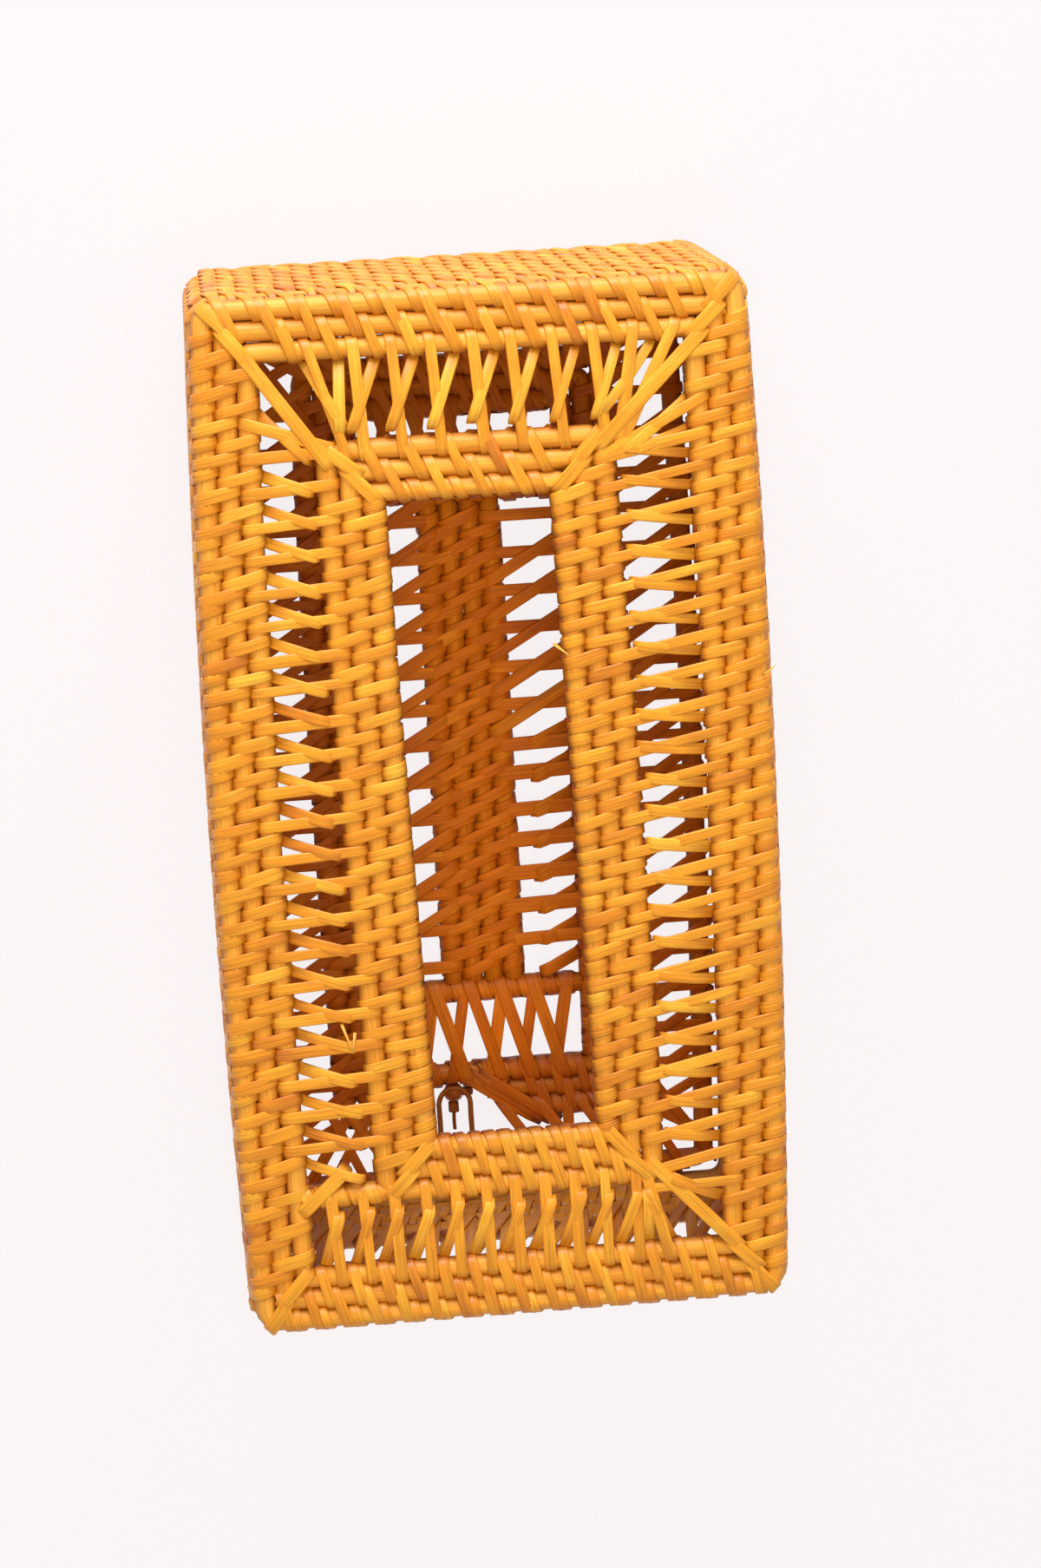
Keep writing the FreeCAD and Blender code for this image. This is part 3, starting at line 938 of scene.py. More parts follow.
@dataclass
class Top:
    """The top of the cover: its rim, the frame of the tissue slot and the lacing between them.

    Attributes:
        canes: Canes in the rim, and as many in the frame.
        bend_r: Radius of their outermost canes at the corners.
        run_on: How far the frame's outer cane runs on at the lower left.
        cross_at: Share of the lacing's gap at which the strands of a pair cross.
        corner_w: Width of the strands over the corners.
        corner_tone: Their shade.
        slivers: Start and end of each loose sliver, seen from above.
        lacing_lean: Shift of the straight strand and start of the slanting one, for each side.
        rim: The rim's outermost cane.
        slot: The frame's outermost cane.
    """

    canes: int = 3
    bend_r: float = 3.2
    run_on: float = 18.0
    cross_at: float = 0.67
    corner_w: float = 3.4
    corner_tone: float = 0.66
    slivers: tuple[tuple[Point, Point], ...] = (
        ((-40.5, -51.0), (-38.2, -58.5)), ((-37.5, -53.5), (-38.5, -58.0)),
        ((65.5, 30.0), (68.6, 32.5)), ((17.5, 41.5), (21.5, 38.0)))
    lacing_lean: dict[Side, Point] = field(default_factory=lambda: {
        Side.RIGHT: (-4.4, -0.68), Side.LEFT: (-1.2, -0.62), Side.HEAD: (-4.5, -0.68),
        Side.FOOT: (-1.6, -0.66)})
    rim: Ring = field(init=False)
    slot: Ring = field(init=False)

    def __post_init__(self) -> None:
        """Read the rings' places from the frame."""
        self.rim = Ring.around("top_rim", self.bend_r)
        right, head = highest("slot_frame_right"), highest("slot_frame_head")
        foot = lowest("slot_frame_foot")
        self.slot = Ring(right[0] - CANE_R, (head[1] - foot[1]) / 2 - CANE_R, right[2] - CANE_R,
                         (head[1] + foot[1]) / 2, self.bend_r)

    def build(self, wall_top: Ring) -> None:
        """Wind the canes and lay the strands.

        Args:
            wall_top: The uppermost row of the walls, which the rim is bound to.
        """
        for name, ring, node in (("rim", self.rim, "top_rim"), ("slot_frame", self.slot, "slot_frame")):
            canes = Bundle(f"{name}_canes")
            for step in range(self.canes):
                canes.cane(ring.inner(step).path())
            canes.piece(CANE, "cover", "cane", *on_sides(node))
        self.foot_run_on()
        self.rim_weave(wall_top).piece(PEEL, "cover", "peel")
        self.slot_weave().piece(PEEL, "cover", "peel")
        for side in Side:
            lacing = Bundle(f"top_lacing_{side.word}_strands")
            shift, start = self.lacing_lean[side]
            net = Lattice(self.rim.inner(2), self.slot, side, side.pitch, Ending.TUCKED, shift, start,
                          self.cross_at, full_fan=side is Side.HEAD)
            if side is Side.LEFT:
                net.where = self.above_run_on
            if side is Side.FOOT:
                net.run_on = self.run_on
            net.lay(lacing)
            lacing.piece(PEEL, "cover", "peel", f"top_lacing_{side.word}")
        self.corners()

    def above_run_on(self, u: float) -> bool:
        """Whether a strand of the left side lies above the cane that runs on from the frame."""
        return u < self.slot.half_y - 3.0

    def foot_run_on(self) -> None:
        """The frame's outer cane runs on at the lower left, nearly to the rim, bound with turns."""
        y, z = self.slot.centre_y - self.slot.half_y, self.slot.z
        end = -self.slot.half_x - self.run_on
        cane = Bundle("slot_frame_run_on_cane")
        cane.cane(straight_path((-self.slot.half_x + 4.0, y, z), (end, y, z), 6), closed=False)
        cane.piece(CANE, "cover", "cane")
        turns = Bundle("slot_frame_run_on_turns")
        ring = Ring(-end + 3.0, self.slot.half_y, z, self.slot.centre_y)
        for face in (1.0, -1.0):
            band = Band([ring], Side.FOOT, INWARD, (0.0, face), FOOT_PITCH / 2, -face)
            band.bars(turns, 0, 0, 0.2, where=lambda u: u < -self.slot.half_x)
        self.corner_turn(turns, (end + 7.0, y + 5.5), (end - 1.0, y - 2.0), False, 0.0)
        turns.piece(PEEL, "cover", "peel")

    def rim_weave(self, wall_top: Ring) -> Bundle:
        """Strands of the rim: over its outer edge, in pairs over the top, and underneath.

        Args:
            wall_top: The uppermost row of the walls.

        Returns:
            The bundle of strands.
        """
        weave = Bundle("rim_weave")
        rings = [self.rim.inner(step) for step in range(self.canes)]
        for side in Side:
            upper = Band(rings, side, INWARD, UP, side.pitch, -1.0)
            upper.bars(weave, 1, 2, 0.5)
            self.edge(weave, side, wall_top)
            under = Band(rings, side, INWARD, DOWN, side.pitch, 1.0)
            under.bars(weave, 0, 1, 0.5)
            under.bars(weave, 1, 2, 0.0)
        return weave

    def edge(self, weave: Bundle, side: Side, wall_top: Ring) -> None:
        """Strands that come up over the outer edge: one row to the second cane, one to the first.

        Args:
            weave: The bundle that takes the strands.
            side: The side of the box.
            wall_top: The uppermost row of the walls.
        """
        section = self.rim.section(side)
        wall, first, second = (ring.spot(side) for ring in (wall_top, self.rim, self.rim.inner(1)))
        half = CANE_PITCH / 2
        pair = turned([(first, 5), (first, 40), (first, 80), (second, 92), (second, 125), (second, 152)],
                      ((first[0] + 1.4, first[1] - 2.8), (second[0] - half, second[1] - 1.0)))
        single = turned([(wall, -52), (wall, -12), (first, 20), (first, 62), (first, 104), (first, 150)],
                        ((wall[0] - 0.6, wall[1] - half), (first[0] - half, first[1] - 1.0)))
        for line, phase in ((pair, 0.0), (single, 0.5)):
            for u in repeats(self.rim.reach(side), side.pitch, phase, 3.5):
                weave.strand(section, line, lean(line, u, -slope_for(side)), width(side.peel_w))

    def slot_weave(self) -> Bundle:
        """Strands of the slot frame: pairs on top, single turns on the lip, and underneath.

        Returns:
            The bundle of strands.
        """
        weave = Bundle("slot_frame_weave")
        rings = [self.slot.inner(step) for step in range(self.canes)]
        for side in Side:
            upper = Band(rings, side, INWARD, UP, side.pitch, -1.0)
            upper.bars(weave, 1, 2, -0.25, 1.2)
            upper.bars(weave, 0, 1, 0.25, 1.2)
            upper.bars(weave, 2, 2, 0.25, 1.2)
            under = Band(rings, side, INWARD, DOWN, side.pitch, 1.0)
            under.bars(weave, 0, 1, 0.0)
            under.bars(weave, 1, 2, 0.5)
        return weave

    def corners(self) -> None:
        """Strands laid slantwise over the corners of rim and frame, and from one to the other."""
        rim = Bundle("rim_corner_strands")
        frame_turns = Bundle("slot_frame_corner_strands")
        for side_x, side_y in CORNERS:
            spots = [self.rim.inner(n).bend(side_x, side_y) for n in range(self.canes)]
            spots += [self.slot.inner(n).bend(side_x, side_y) for n in range(self.canes)]
            hand = side_x * side_y
            self.corner_turn(rim, spots[1], spots[0], True, 0.9 * hand)
            self.corner_turn(rim, spots[2], spots[1], False, -0.6 * hand)
            if (side_x, side_y) != (-1, -1):
                self.corner_turn(rim, spots[3], spots[2], False, -1.4 * hand)
            self.corner_turn(frame_turns, spots[4], spots[3], False, 0.9 * hand)
            self.corner_turn(frame_turns, spots[5], spots[4], False, -0.4 * hand)
        rim.piece(PEEL, "cover", "peel", "rim_corner_lashings")
        self.splinters()
        frame_turns.piece(PEEL, "cover", "peel", "slot_corner_lashings")

    def splinters(self) -> None:
        """Fine slivers that have sprung loose from strands, where the photograph shows some."""
        slivers = Bundle("loose_slivers")
        top = self.rim.z + CANE_R + PEEL_T
        share = np.linspace(0.0, 1.0, 5)
        look = np.tile([0.0, 0.0, 1.0], (5, 1))
        for start, end in self.slivers:
            path = straight_path((*start, top), (*end, top), 5)
            path[:, 2] += 1.2 * np.sin(share * 2.4)
            slivers.ribbon(path, look, 0.8 * (1.0 - 0.8 * share), 0.25, np.zeros(5), 0.95)
        slivers.piece(CANE, "cover", "peel")

    def corner_turn(self, into: Bundle, near: Point, far: Point, round_edge: bool, aside: float) -> None:
        """Lay one strand over two canes' corners, from the far one in to the near one.

        Args:
            into: The bundle that takes it.
            near: The inner corner.
            far: The outer corner.
            round_edge: Whether it comes up round the outer edge of the box.
            aside: How far it lies beside the diagonal.
        """
        way = np.array(far) - np.array(near)
        length = float(np.linalg.norm(way))
        out = way / length
        section = Section((out[0], out[1]), (-out[1], out[0]), near)
        z = self.rim.z
        if round_edge:
            outer, inner = (length, z), (0.0, z)
            line = turned([(outer, 5), (outer, 40), (outer, 80), (inner, 92), (inner, 125), (inner, 150)],
                          ((length + 1.4, z - 2.8), (-CANE_PITCH * 0.6, z - 0.6)))
        else:
            line = over([(length, z), (0.0, z)], INWARD, UP, 0.3)
        into.strand(section, line, lean(line, aside, RNG.normal(0, 0.05)), self.corner_w,
                    tone=self.corner_tone)


@dataclass
class Walls:
    """The four walls: rows of canes round the box, bound inside and out, open at the foot.

    Attributes:
        bend_r: Radius of the rows at the corners.
        base_bend_r: The same for the base rim.
        rows: All rows, from the top.
        base: The base rim's cane.
    """

    bend_r: float = 3.8
    base_bend_r: float = 5.0
    rows: list[Ring] = field(init=False)
    base: Ring = field(init=False)

    def __post_init__(self) -> None:
        """Read the rows' places from the frame."""
        right, head = highest("wall_right"), highest("wall_head")
        heights = np.linspace(right[2] - CANE_R, lowest("wall_right")[2] + CANE_R, WALL_ROWS)
        half = (right[0] - CANE_R, head[1] - CANE_R)
        self.rows = [Ring(*half, float(z), corner=self.bend_r) for z in heights]
        self.base = Ring.around("base_rim", self.base_bend_r)

    def foot_rows(self) -> tuple[list[Ring], list[Ring]]:
        """The rows that run on along the foot wall, above and below its open belt."""
        belt_top, belt_foot = lowest("wall_foot_upper")[2], highest("wall_foot_lower")[2]
        above = [row for row in self.rows if row.z > belt_top]
        return above, [row for row in self.rows if row.z < belt_foot]

    def build(self) -> None:
        """Wind the canes and lay the strands."""
        canes = Bundle("wall_canes")
        above, below = self.foot_rows()
        for row in self.rows:
            path = row.path()
            whole = row in above + below
            if not whole:
                keep = path[:, 1] > -row.half_y + row.corner
                start = int(np.argmax(keep & ~np.roll(keep, 1)))
                path = np.roll(path, -start, axis=0)[:int(keep.sum())]
            canes.cane(path, closed=whole, stacked=True)
        canes.piece(CANE, "cover", "cane", "wall_head", "wall_left", "wall_right",
                    "wall_foot_upper", "wall_foot_lower")
        ring = Bundle("base_rim_cane")
        ring.cane(self.base.path())
        ring.piece(CANE, "cover", "cane", *on_sides("base_rim"))
        for side in Side:
            self.weave(side)
        self.corners()
        self.belt()

    def corners(self) -> None:
        """Bind the rounded corners of the walls with strands over two canes and under one."""
        turns = Bundle("wall_corner_strands")
        rows, ring = self.rows, self.rows[0]
        for side_x, side_y in CORNERS:
            hub = (side_x * (ring.half_x - ring.corner), side_y * (ring.half_y - ring.corner))
            for number, angle in enumerate(np.radians((8, 45, 82))):
                out = (side_x * math.cos(angle), side_y * math.sin(angle))
                section = Section(out, (-out[1], out[0]), hub)
                for first in range(number % 2, len(rows) - 1, 2):
                    spots = [(ring.corner, row.z) for row in rows[first:first + 2]]
                    line = over(spots, DOWN, OUTWARD, RNG.uniform(0.05, 0.2))
                    turns.strand(section, line, lean(line, 0.0, 0.2), width(LACE_W))
        turns.piece(PEEL, "cover", "peel")

    def weave(self, side: Side) -> None:
        """Bind one wall inside and out.

        Args:
            side: The side of the box.
        """
        weave = Bundle(f"wall_{side.word}_weave")
        above, below = self.foot_rows()
        groups = [above, below + [self.base]] if side is Side.FOOT else [self.rows + [self.base]]
        for rows in groups:
            last = len(rows) - 1
            outer = Band(rows, side, DOWN, OUTWARD, side.pitch)
            for start, phase in ((0, 0.0), (1, 0.5)):
                for first in range(start, last, 2):
                    outer.bars(weave, first, first + 1, phase, 4.0)
            inner = Band(rows[:-1], side, DOWN, INWARD, side.pitch)
            for start, phase in ((1, 0.0), (0, 0.5)):
                for first in range(start, last - 1, 2):
                    inner.bars(weave, first, first + 1, phase, 6.0)
        weave.piece(PEEL, "cover", "peel")

    def belt(self) -> None:
        """Open lacing across the foot wall, between its upper and lower canes."""
        lacing = Bundle("wall_foot_lacing_strands")
        above, below = self.foot_rows()
        upper, lower = above[-1], below[0]
        canes = [(upper.half_y, row.z) for row in (upper, lower)]
        for phase, shy, lift, slope in ((0.0, 5.0, 0.0, 0.1), (0.5, 9.0, PEEL_T, 0.36)):
            for u in repeats(upper.half_x, END_PITCH, phase, shy):
                line = over(canes, DOWN, INWARD, lift)
                lacing.strand(upper.section(Side.FOOT), line, lean(line, u, slope), width())
        lacing.piece(PEEL, "cover", "peel", "wall_foot_lacing")


@dataclass
class Flap:
    """The bottom flap: rim, a band of three canes, cross bars, a band down the middle, lacing.

    Attributes:
        canes: Canes in the band.
        bend_r: Radius of the rim and the band's outermost cane at the corners.
        centre_canes: Canes in the band down the middle.
        notch_left: Where the notch in the band's foot starts.
        notch_right: Where the notch ends, at its inner edge.
        notch_slant: How far the notch's right side moves outward along the foot, per millimetre.
        bar_pitch: Distance from one strand to the next on the bands.
        notch_margin: How far the bands' strands stay from the notch.
        notch_clear: How far the lacing stays from the notch's right side.
        centre_lean: Lean of the strands on the middle band, as a share of the usual one.
        end_pitch: Distance from one lacing pair to the next at the ends.
        close_pitch: The same on the right, where the lacing is closer.
        close_w: Width of the strands there.
        neat_to: Where the closer lacing on the right gives way to the even one.
        neat_gap: Length without lacing between the two.
        even_cross: Shift, start and crossing of the pairs in even lacing, as Lattice has them.
        end_cross: The same at the ends.
        close_cross: The same in the closer lacing.
        rim: The rim's cane.
        band: The outermost cane of the band.
        centre: The right cane of the middle band.
        cross: The cross bars.
    """

    canes: int = 3
    bend_r: float = 3.0
    centre_canes: int = 4
    notch_left: float = -20.0
    notch_right: float = -4.6
    notch_slant: float = 1.37
    bar_pitch: float = 7.2
    notch_margin: float = 1.6
    notch_clear: float = 5.0
    centre_lean: float = 1.6
    end_pitch: float = 8.8
    close_pitch: float = 9.0
    close_w: float = 1.2 * FLAP_LACE_W
    neat_to: float = 8.0
    neat_gap: float = 4.0
    even_cross: Place = (0.0, 0.6, 0.5)
    end_cross: Place = (4.0, 0.3, 0.25)
    close_cross: Place = (-0.6, 0.42, 0.5)
    rim: Ring = field(init=False)
    band: Ring = field(init=False)
    centre: Ring = field(init=False)
    cross: Ring = field(init=False)

    def __post_init__(self) -> None:
        """Read the rings' places from the frame."""
        self.rim = Ring.around("flap_rim", self.bend_r)
        self.band = Ring.around("flap_band", self.bend_r)
        end = highest("flap_centre_band")
        self.centre = Ring(end[0] - CANE_R, end[1], end[2] - CANE_R)
        bar = highest("flap_cross_bars")
        self.cross = Ring(bar[0], bar[1] - CANE_R, bar[2] - CANE_R)

    def notch_end(self, ring: Ring) -> float:
        """Where the notch's slanting side cuts a cane of the band's foot."""
        inside = self.band.inner(self.canes - 1)
        return self.notch_right + self.notch_slant * (ring.half_y - inside.half_y - CANE_R)

    def build(self) -> None:
        """Wind the canes and lay the strands."""
        rim = Bundle("flap_rim_cane")
        rim.cane(self.rim.path())
        rim.piece(SHADED_FLAP_CANE, "flap", "cane", *on_sides("flap_rim"))
        band = Bundle("flap_band_canes")
        for step in range(self.canes):
            self.band_cane(band, self.band.inner(step), step < self.canes - 1)
        band.piece(SHADED_FLAP_CANE, "flap", "cane", *on_sides("flap_band"))
        middle = Bundle("flap_centre_canes")
        for step in range(self.centre_canes):
            x = self.centre.half_x - step * CANE_PITCH
            ends = [(x, end * self.centre.half_y, self.centre.z) for end in (-1, 1)]
            middle.cane(straight_path(*ends, 22), closed=False)
        middle.piece(SHADED_FLAP_CANE, "flap", "cane", "flap_centre_band")
        bars = Bundle("flap_cross_bar_canes")
        for y in (-self.cross.half_y, self.cross.half_y):
            ends = [(end * self.cross.half_x, y, self.cross.z) for end in (-1, 1)]
            bars.cane(straight_path(*ends, 9), closed=False)
        bars.piece(SHADED_FLAP_CANE, "flap", "cane", "flap_cross_bars")
        self.weave()
        self.lace()

    def band_cane(self, into: Bundle, ring: Ring, notched: bool) -> None:
        """Wind one cane of the band; a notched one stops on both sides of the closure.

        Args:
            into: The bundle that takes the cane.
            ring: Where it lies.
            notched: Whether the notch cuts it.
        """
        path = ring.path()
        if not notched:
            into.cane(path)
            return
        left, right = self.notch_left, self.notch_end(ring)
        at_foot = path[:, 1] < -ring.half_y + 0.1
        inside = at_foot & (path[:, 0] > left - 2.0) & (path[:, 0] < right + 2.0)
        start = int(np.argmax(~inside & np.roll(inside, 1)))
        rest = np.roll(path, -start, axis=0)[:int((~inside).sum())]
        ends = np.array([[right, -ring.half_y, ring.z], [left, -ring.half_y, ring.z]])
        into.cane(np.vstack([ends[:1], rest, ends[1:]]), closed=False)

    def weave(self) -> None:
        """Bind the band, the cross bars and the middle, above and below."""
        weave = Bundle("flap_weave")
        rings = [self.band.inner(step) for step in range(self.canes)]
        long = [Ring(self.centre.half_x - step * CANE_PITCH, self.centre.half_y, self.centre.z)
                for step in range(self.centre_canes)]
        for face in (1.0, -1.0):
            for side in Side:
                band = Band(rings, side, INWARD, (0.0, face), self.bar_pitch, -face)
                self.bind_band(weave, band, side, int(face < 0))
            middle = Band(long, Side.RIGHT, INWARD, (0.0, face), self.bar_pitch,
                          -self.centre_lean * face)
            middle.twill(weave)
            for side in (Side.HEAD, Side.FOOT):
                bar = Band([self.cross], side, INWARD, (0.0, face), self.bar_pitch / 2, -face)
                bar.bars(weave, 0, 0, 0.0)
        self.notch_edge(weave)
        weave.piece(SHADED_LACING, "flap", "peel")

    def bind_band(self, weave: Bundle, band: Band, side: Side, shift: int) -> None:
        """Bind one side of the band, leaving the notch at the foot open.

        Args:
            weave: The bundle that takes the strands.
            band: The band on that side.
            side: The side of the flap.
            shift: 1 where the rows change places, as they do underneath, otherwise 0.
        """
        foot = side is Side.FOOT
        last = self.canes - 1

        def outside(ring: Ring) -> Callable[[float], bool]:
            """The rule that keeps strands off a cane's missing length."""
            start, end = self.notch_left - self.notch_margin, self.notch_end(ring) + self.notch_margin
            return lambda u: not (foot and start < u < end)

        for row in (0, 1):
            if (row + shift) % 2 == 0:
                band.bars(weave, 0, 1, 0.5 * row, where=outside(band.rings[0]))
                band.bars(weave, last, last, 0.5 * row)
            else:
                band.bars(weave, 0, 0, 0.5 * row, where=outside(band.rings[0]))
                band.bars(weave, 1, last, 0.5 * row, where=outside(band.rings[1]))

    def notch_edge(self, weave: Bundle) -> None:
        """Strands down the notch's slanting side, which bind the cut ends of the canes.

        Args:
            weave: The bundle that takes the strands.
        """
        inside = self.band.inner(self.canes - 1)
        top = self.band.z + CANE_R + PEEL_T / 2
        for face in (1.0, -1.0):
            for row in range(3):
                xs = np.linspace(self.notch_right - 5.0, self.notch_end(self.band) + 7.0, 8) + 2.5 * row
                ys = -np.linspace(inside.half_y - 1.5, self.band.half_y + 4.5, 8)
                rise = np.array([-2.2, 0.2, 0.5, 0.5, 0.5, 0.4, 0.0, -2.0]) + 0.15 * row
                lift = rise if face > 0 else np.minimum(rise, 0.0)
                path = np.column_stack([xs, ys, self.band.z + face * (top - self.band.z + lift)])
                look = np.tile([0.0, 0.0, face], (8, 1))
                weave.ribbon(path, look, np.full(8, 2.9), PEEL_T, np.array([1, 0.3, 0, 0, 0, 0, 0.3, 1.0]))

    def past_notch(self, u: float) -> bool:
        """Whether a strand of the lacing outside the band's foot leaves the notch free."""
        return not self.notch_left < u < self.notch_end(self.band) + self.notch_clear

    def inner_nets(self, side: Side) -> list[Lattice]:
        """The lacing inside one side of the band: one stretch, or two on the right.

        Args:
            side: The side of the flap.

        Returns:
            The stretches, in the order in which they are laid.
        """
        inside, z = self.band.inner(self.canes - 1), self.band.z
        if not side.long:
            across = inside.half_x - CANE_R
            rings = Ring(across, inside.half_y, z), Ring(across, self.cross.half_y, z)
            return [Lattice(*rings, side, self.end_pitch, Ending.OVER, *self.end_cross,
                            strand_w=FLAP_LACE_W)]
        beside = self.cross.half_y - CANE_R
        rings = Ring(inside.half_x, beside, z), Ring(self.centre.half_x, beside, z)
        even = Lattice(*rings, side, FLAP_PITCH, Ending.OVER, *self.even_cross, strand_w=FLAP_LACE_W)
        if side is Side.LEFT:
            return [even]
        even.where = lambda u: u > self.neat_to
        close = Lattice(*rings, side, self.close_pitch, Ending.TUCKED, *self.close_cross,
                        lambda u: u < self.neat_to - self.neat_gap, strand_w=self.close_w)
        return [close, even]

    def lace(self) -> None:
        """Lay the open lacing inside and outside the band."""
        for side in Side:
            inner = Bundle(f"flap_lacing_inner_{side.word}_strands")
            for net in self.inner_nets(side):
                net.lay(inner)
            inner.piece(SHADED_LACING, "flap", "peel", f"flap_lacing_inner_{side.word}")
            outer = Bundle(f"flap_lacing_outer_{side.word}_strands")
            net = Lattice(self.rim, self.band, side, FLAP_PITCH, Ending.OVER, *self.even_cross)
            nodes = [f"flap_lacing_outer_{side.word}"]
            if side is Side.FOOT:
                net.where = self.past_notch
                nodes = ["flap_lacing_foot_left", "flap_lacing_foot_right"]
            net.lay(outer)
            outer.piece(SHADED_LACING, "flap", "peel", *nodes)


@dataclass
class Closure:
    """The flap's bead on its tie, and the cord loop that hangs in an eye on the foot wall.

    Attributes:
        cord_r: Radius of the loop's cord.
        tie_r: Radius of the bead's tie.
        knot_r: Radius of the knot in it.
        eye_r: Radius of the eye's turns.
        eye_w: Width of their peel.
        eye_t: Thickness of their peel.
        bore: Depth of the hollows in the bead's ends.
        bore_edge: Width of the slope round them.
        flat_from: How squarely a face must look along the bore to be sunk, as a cosine.
        knob_r: Radius of the knob beside the bead.
        knob_from: Where the knob starts, from the bead's middle.
        knob_to: Where it ends.
        tail_r: Radius of the tie's loose tail.
        tail: Length of the tail.
        tail_sag: How far it sags.
    """

    cord_r: float = 0.7
    tie_r: float = 0.8
    knot_r: float = 1.4
    eye_r: float = 1.2
    eye_w: float = 1.9
    eye_t: float = 0.7
    bore: float = 0.5
    bore_edge: float = 0.2
    flat_from: float = 0.93
    knob_r: float = 1.2
    knob_from: float = 2.4
    knob_to: float = 5.2
    tail_r: float = 0.5
    tail: float = 5.0
    tail_sag: float = 0.6

    def build(self) -> None:
        """Make the bead, its tie, the loop and its eye."""
        self.bead()
        self.tie()
        self.loop()
        self.eye()

    def tie(self) -> None:
        """Tie the bead on: a cord with a knot in it, a knob beside the bead and a loose tail."""
        low, high = lowest("bead_tie"), highest("bead_tie")
        x, z = (low[0] + high[0]) / 2, (low[2] + high[2]) / 2
        bead_x, bead_y, _ = (lowest("closing_bead") + highest("closing_bead")) / 2
        parts = (
            ((x, high[1], z), (x, low[1], z), 9, self.tie_r),
            ((x, low[1] + 2 * self.knot_r, z), (x, low[1] + 0.2, z), 4, self.knot_r),
            ((bead_x + self.knob_from, bead_y, z), (bead_x + self.knob_to, bead_y, z), 4, self.knob_r),
            ((x, low[1], z), (x, low[1] - self.tail, z - self.tail_sag), 5, self.tail_r))
        tie = Bundle("bead_tie_cord")
        for start, end, count, radius in parts:
            tie.cane(straight_path(start, end, count), radius, closed=False)
        tie.piece(CORD, "flap", "cord", "bead_tie")

    def bead(self) -> None:
        """Turn the bead: a ball with flattened, bored ends."""
        low, high = lowest("closing_bead"), highest("closing_bead")
        bpy.ops.object.select_all(action="DESELECT")
        bpy.ops.mesh.primitive_uv_sphere_add(segments=24, ring_count=14,
                                             radius=(high[0] - low[0]) / 2 * METRE,
                                             location=(low + high) / 2 * METRE,
                                             rotation=(math.pi / 2, 0.0, 0.0))
        bead = bpy.context.active_object
        bead.name = bead.data.name = "turned_bead"
        bpy.ops.object.transform_apply(location=True, rotation=True, scale=True)
        mesh = bead.data
        bpy.ops.object.mode_set(mode="EDIT")
        bpy.ops.mesh.select_mode(type="FACE")
        bpy.ops.mesh.select_all(action="DESELECT")
        bpy.ops.object.mode_set(mode="OBJECT")
        for face in mesh.polygons:
            face.select = abs(face.normal.y) > self.flat_from
        bpy.ops.object.mode_set(mode="EDIT")
        bpy.ops.mesh.inset(thickness=self.bore_edge * METRE, depth=-self.bore * METRE)
        bpy.ops.object.mode_set(mode="OBJECT")
        bpy.ops.object.shade_smooth()
        grain = mesh.attributes.new("grain", "FLOAT_VECTOR", "POINT")
        spots = np.array([vertex.co[:] for vertex in mesh.vertices]) / METRE
        grain.data.foreach_set("vector", spots.ravel())
        tone = mesh.attributes.new("tone", "FLOAT", "POINT")
        tone.data.foreach_set("value", np.full(len(spots), 0.5))
        mesh.materials.append(BEAD.material())
        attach(bead, "flap")
        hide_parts("closing_bead")
        log.info("%s: %d faces", bead.name, len(mesh.polygons))

    def loop(self) -> None:
        """Bend the cord loop."""
        low, high = lowest("closing_loop"), highest("closing_loop")
        x, z = (low[0] + high[0]) / 2, (low[2] + high[2]) / 2
        half = (high[0] - low[0]) / 2 - self.cord_r
        foot, end = low[1] + self.cord_r, high[1] - self.cord_r
        turn = np.radians(np.linspace(0, 180, 11))
        far = np.column_stack([half * np.cos(turn), end - half + half * np.sin(turn)])
        legs = np.linspace(0.15, 0.9, 5)
        left = np.column_stack([np.full(5, -half), end - half - (end - half - foot) * legs])
        near = np.array([[-half + 0.5, foot + 0.2], [-half + 1.2, foot], [0, foot], [half - 1.2, foot],
                         [half - 0.5, foot + 0.2]])
        right = left[::-1] * [-1, 1]
        flat = np.vstack([far, left, near, right])
        cord = Bundle("closing_loop_cord")
        cord.cane(np.column_stack([flat[:, 0] + x, flat[:, 1], np.full(len(flat), z)]), self.cord_r)
        cord.piece(CORD, "closing_loop_body", "cord", "closing_loop")

    def eye(self) -> None:
        """Wind the peel eye that the loop swings in."""
        eye = Bundle("loop_eye_turns")
        low, high = lowest("loop_eye"), highest("loop_eye")
        centre = (low + high) / 2
        around = np.radians(np.linspace(0, 360, 14))
        look = np.column_stack([np.zeros(14), np.cos(around), np.sin(around)])
        for place in (-1.0, 1.0):
            path = centre + look * self.eye_r + [place, 0, 0]
            eye.ribbon(path, look, np.full(14, self.eye_w), self.eye_t, np.zeros(14), 0.5)
        eye.piece(PEEL, "cover", "peel", "loop_eye")


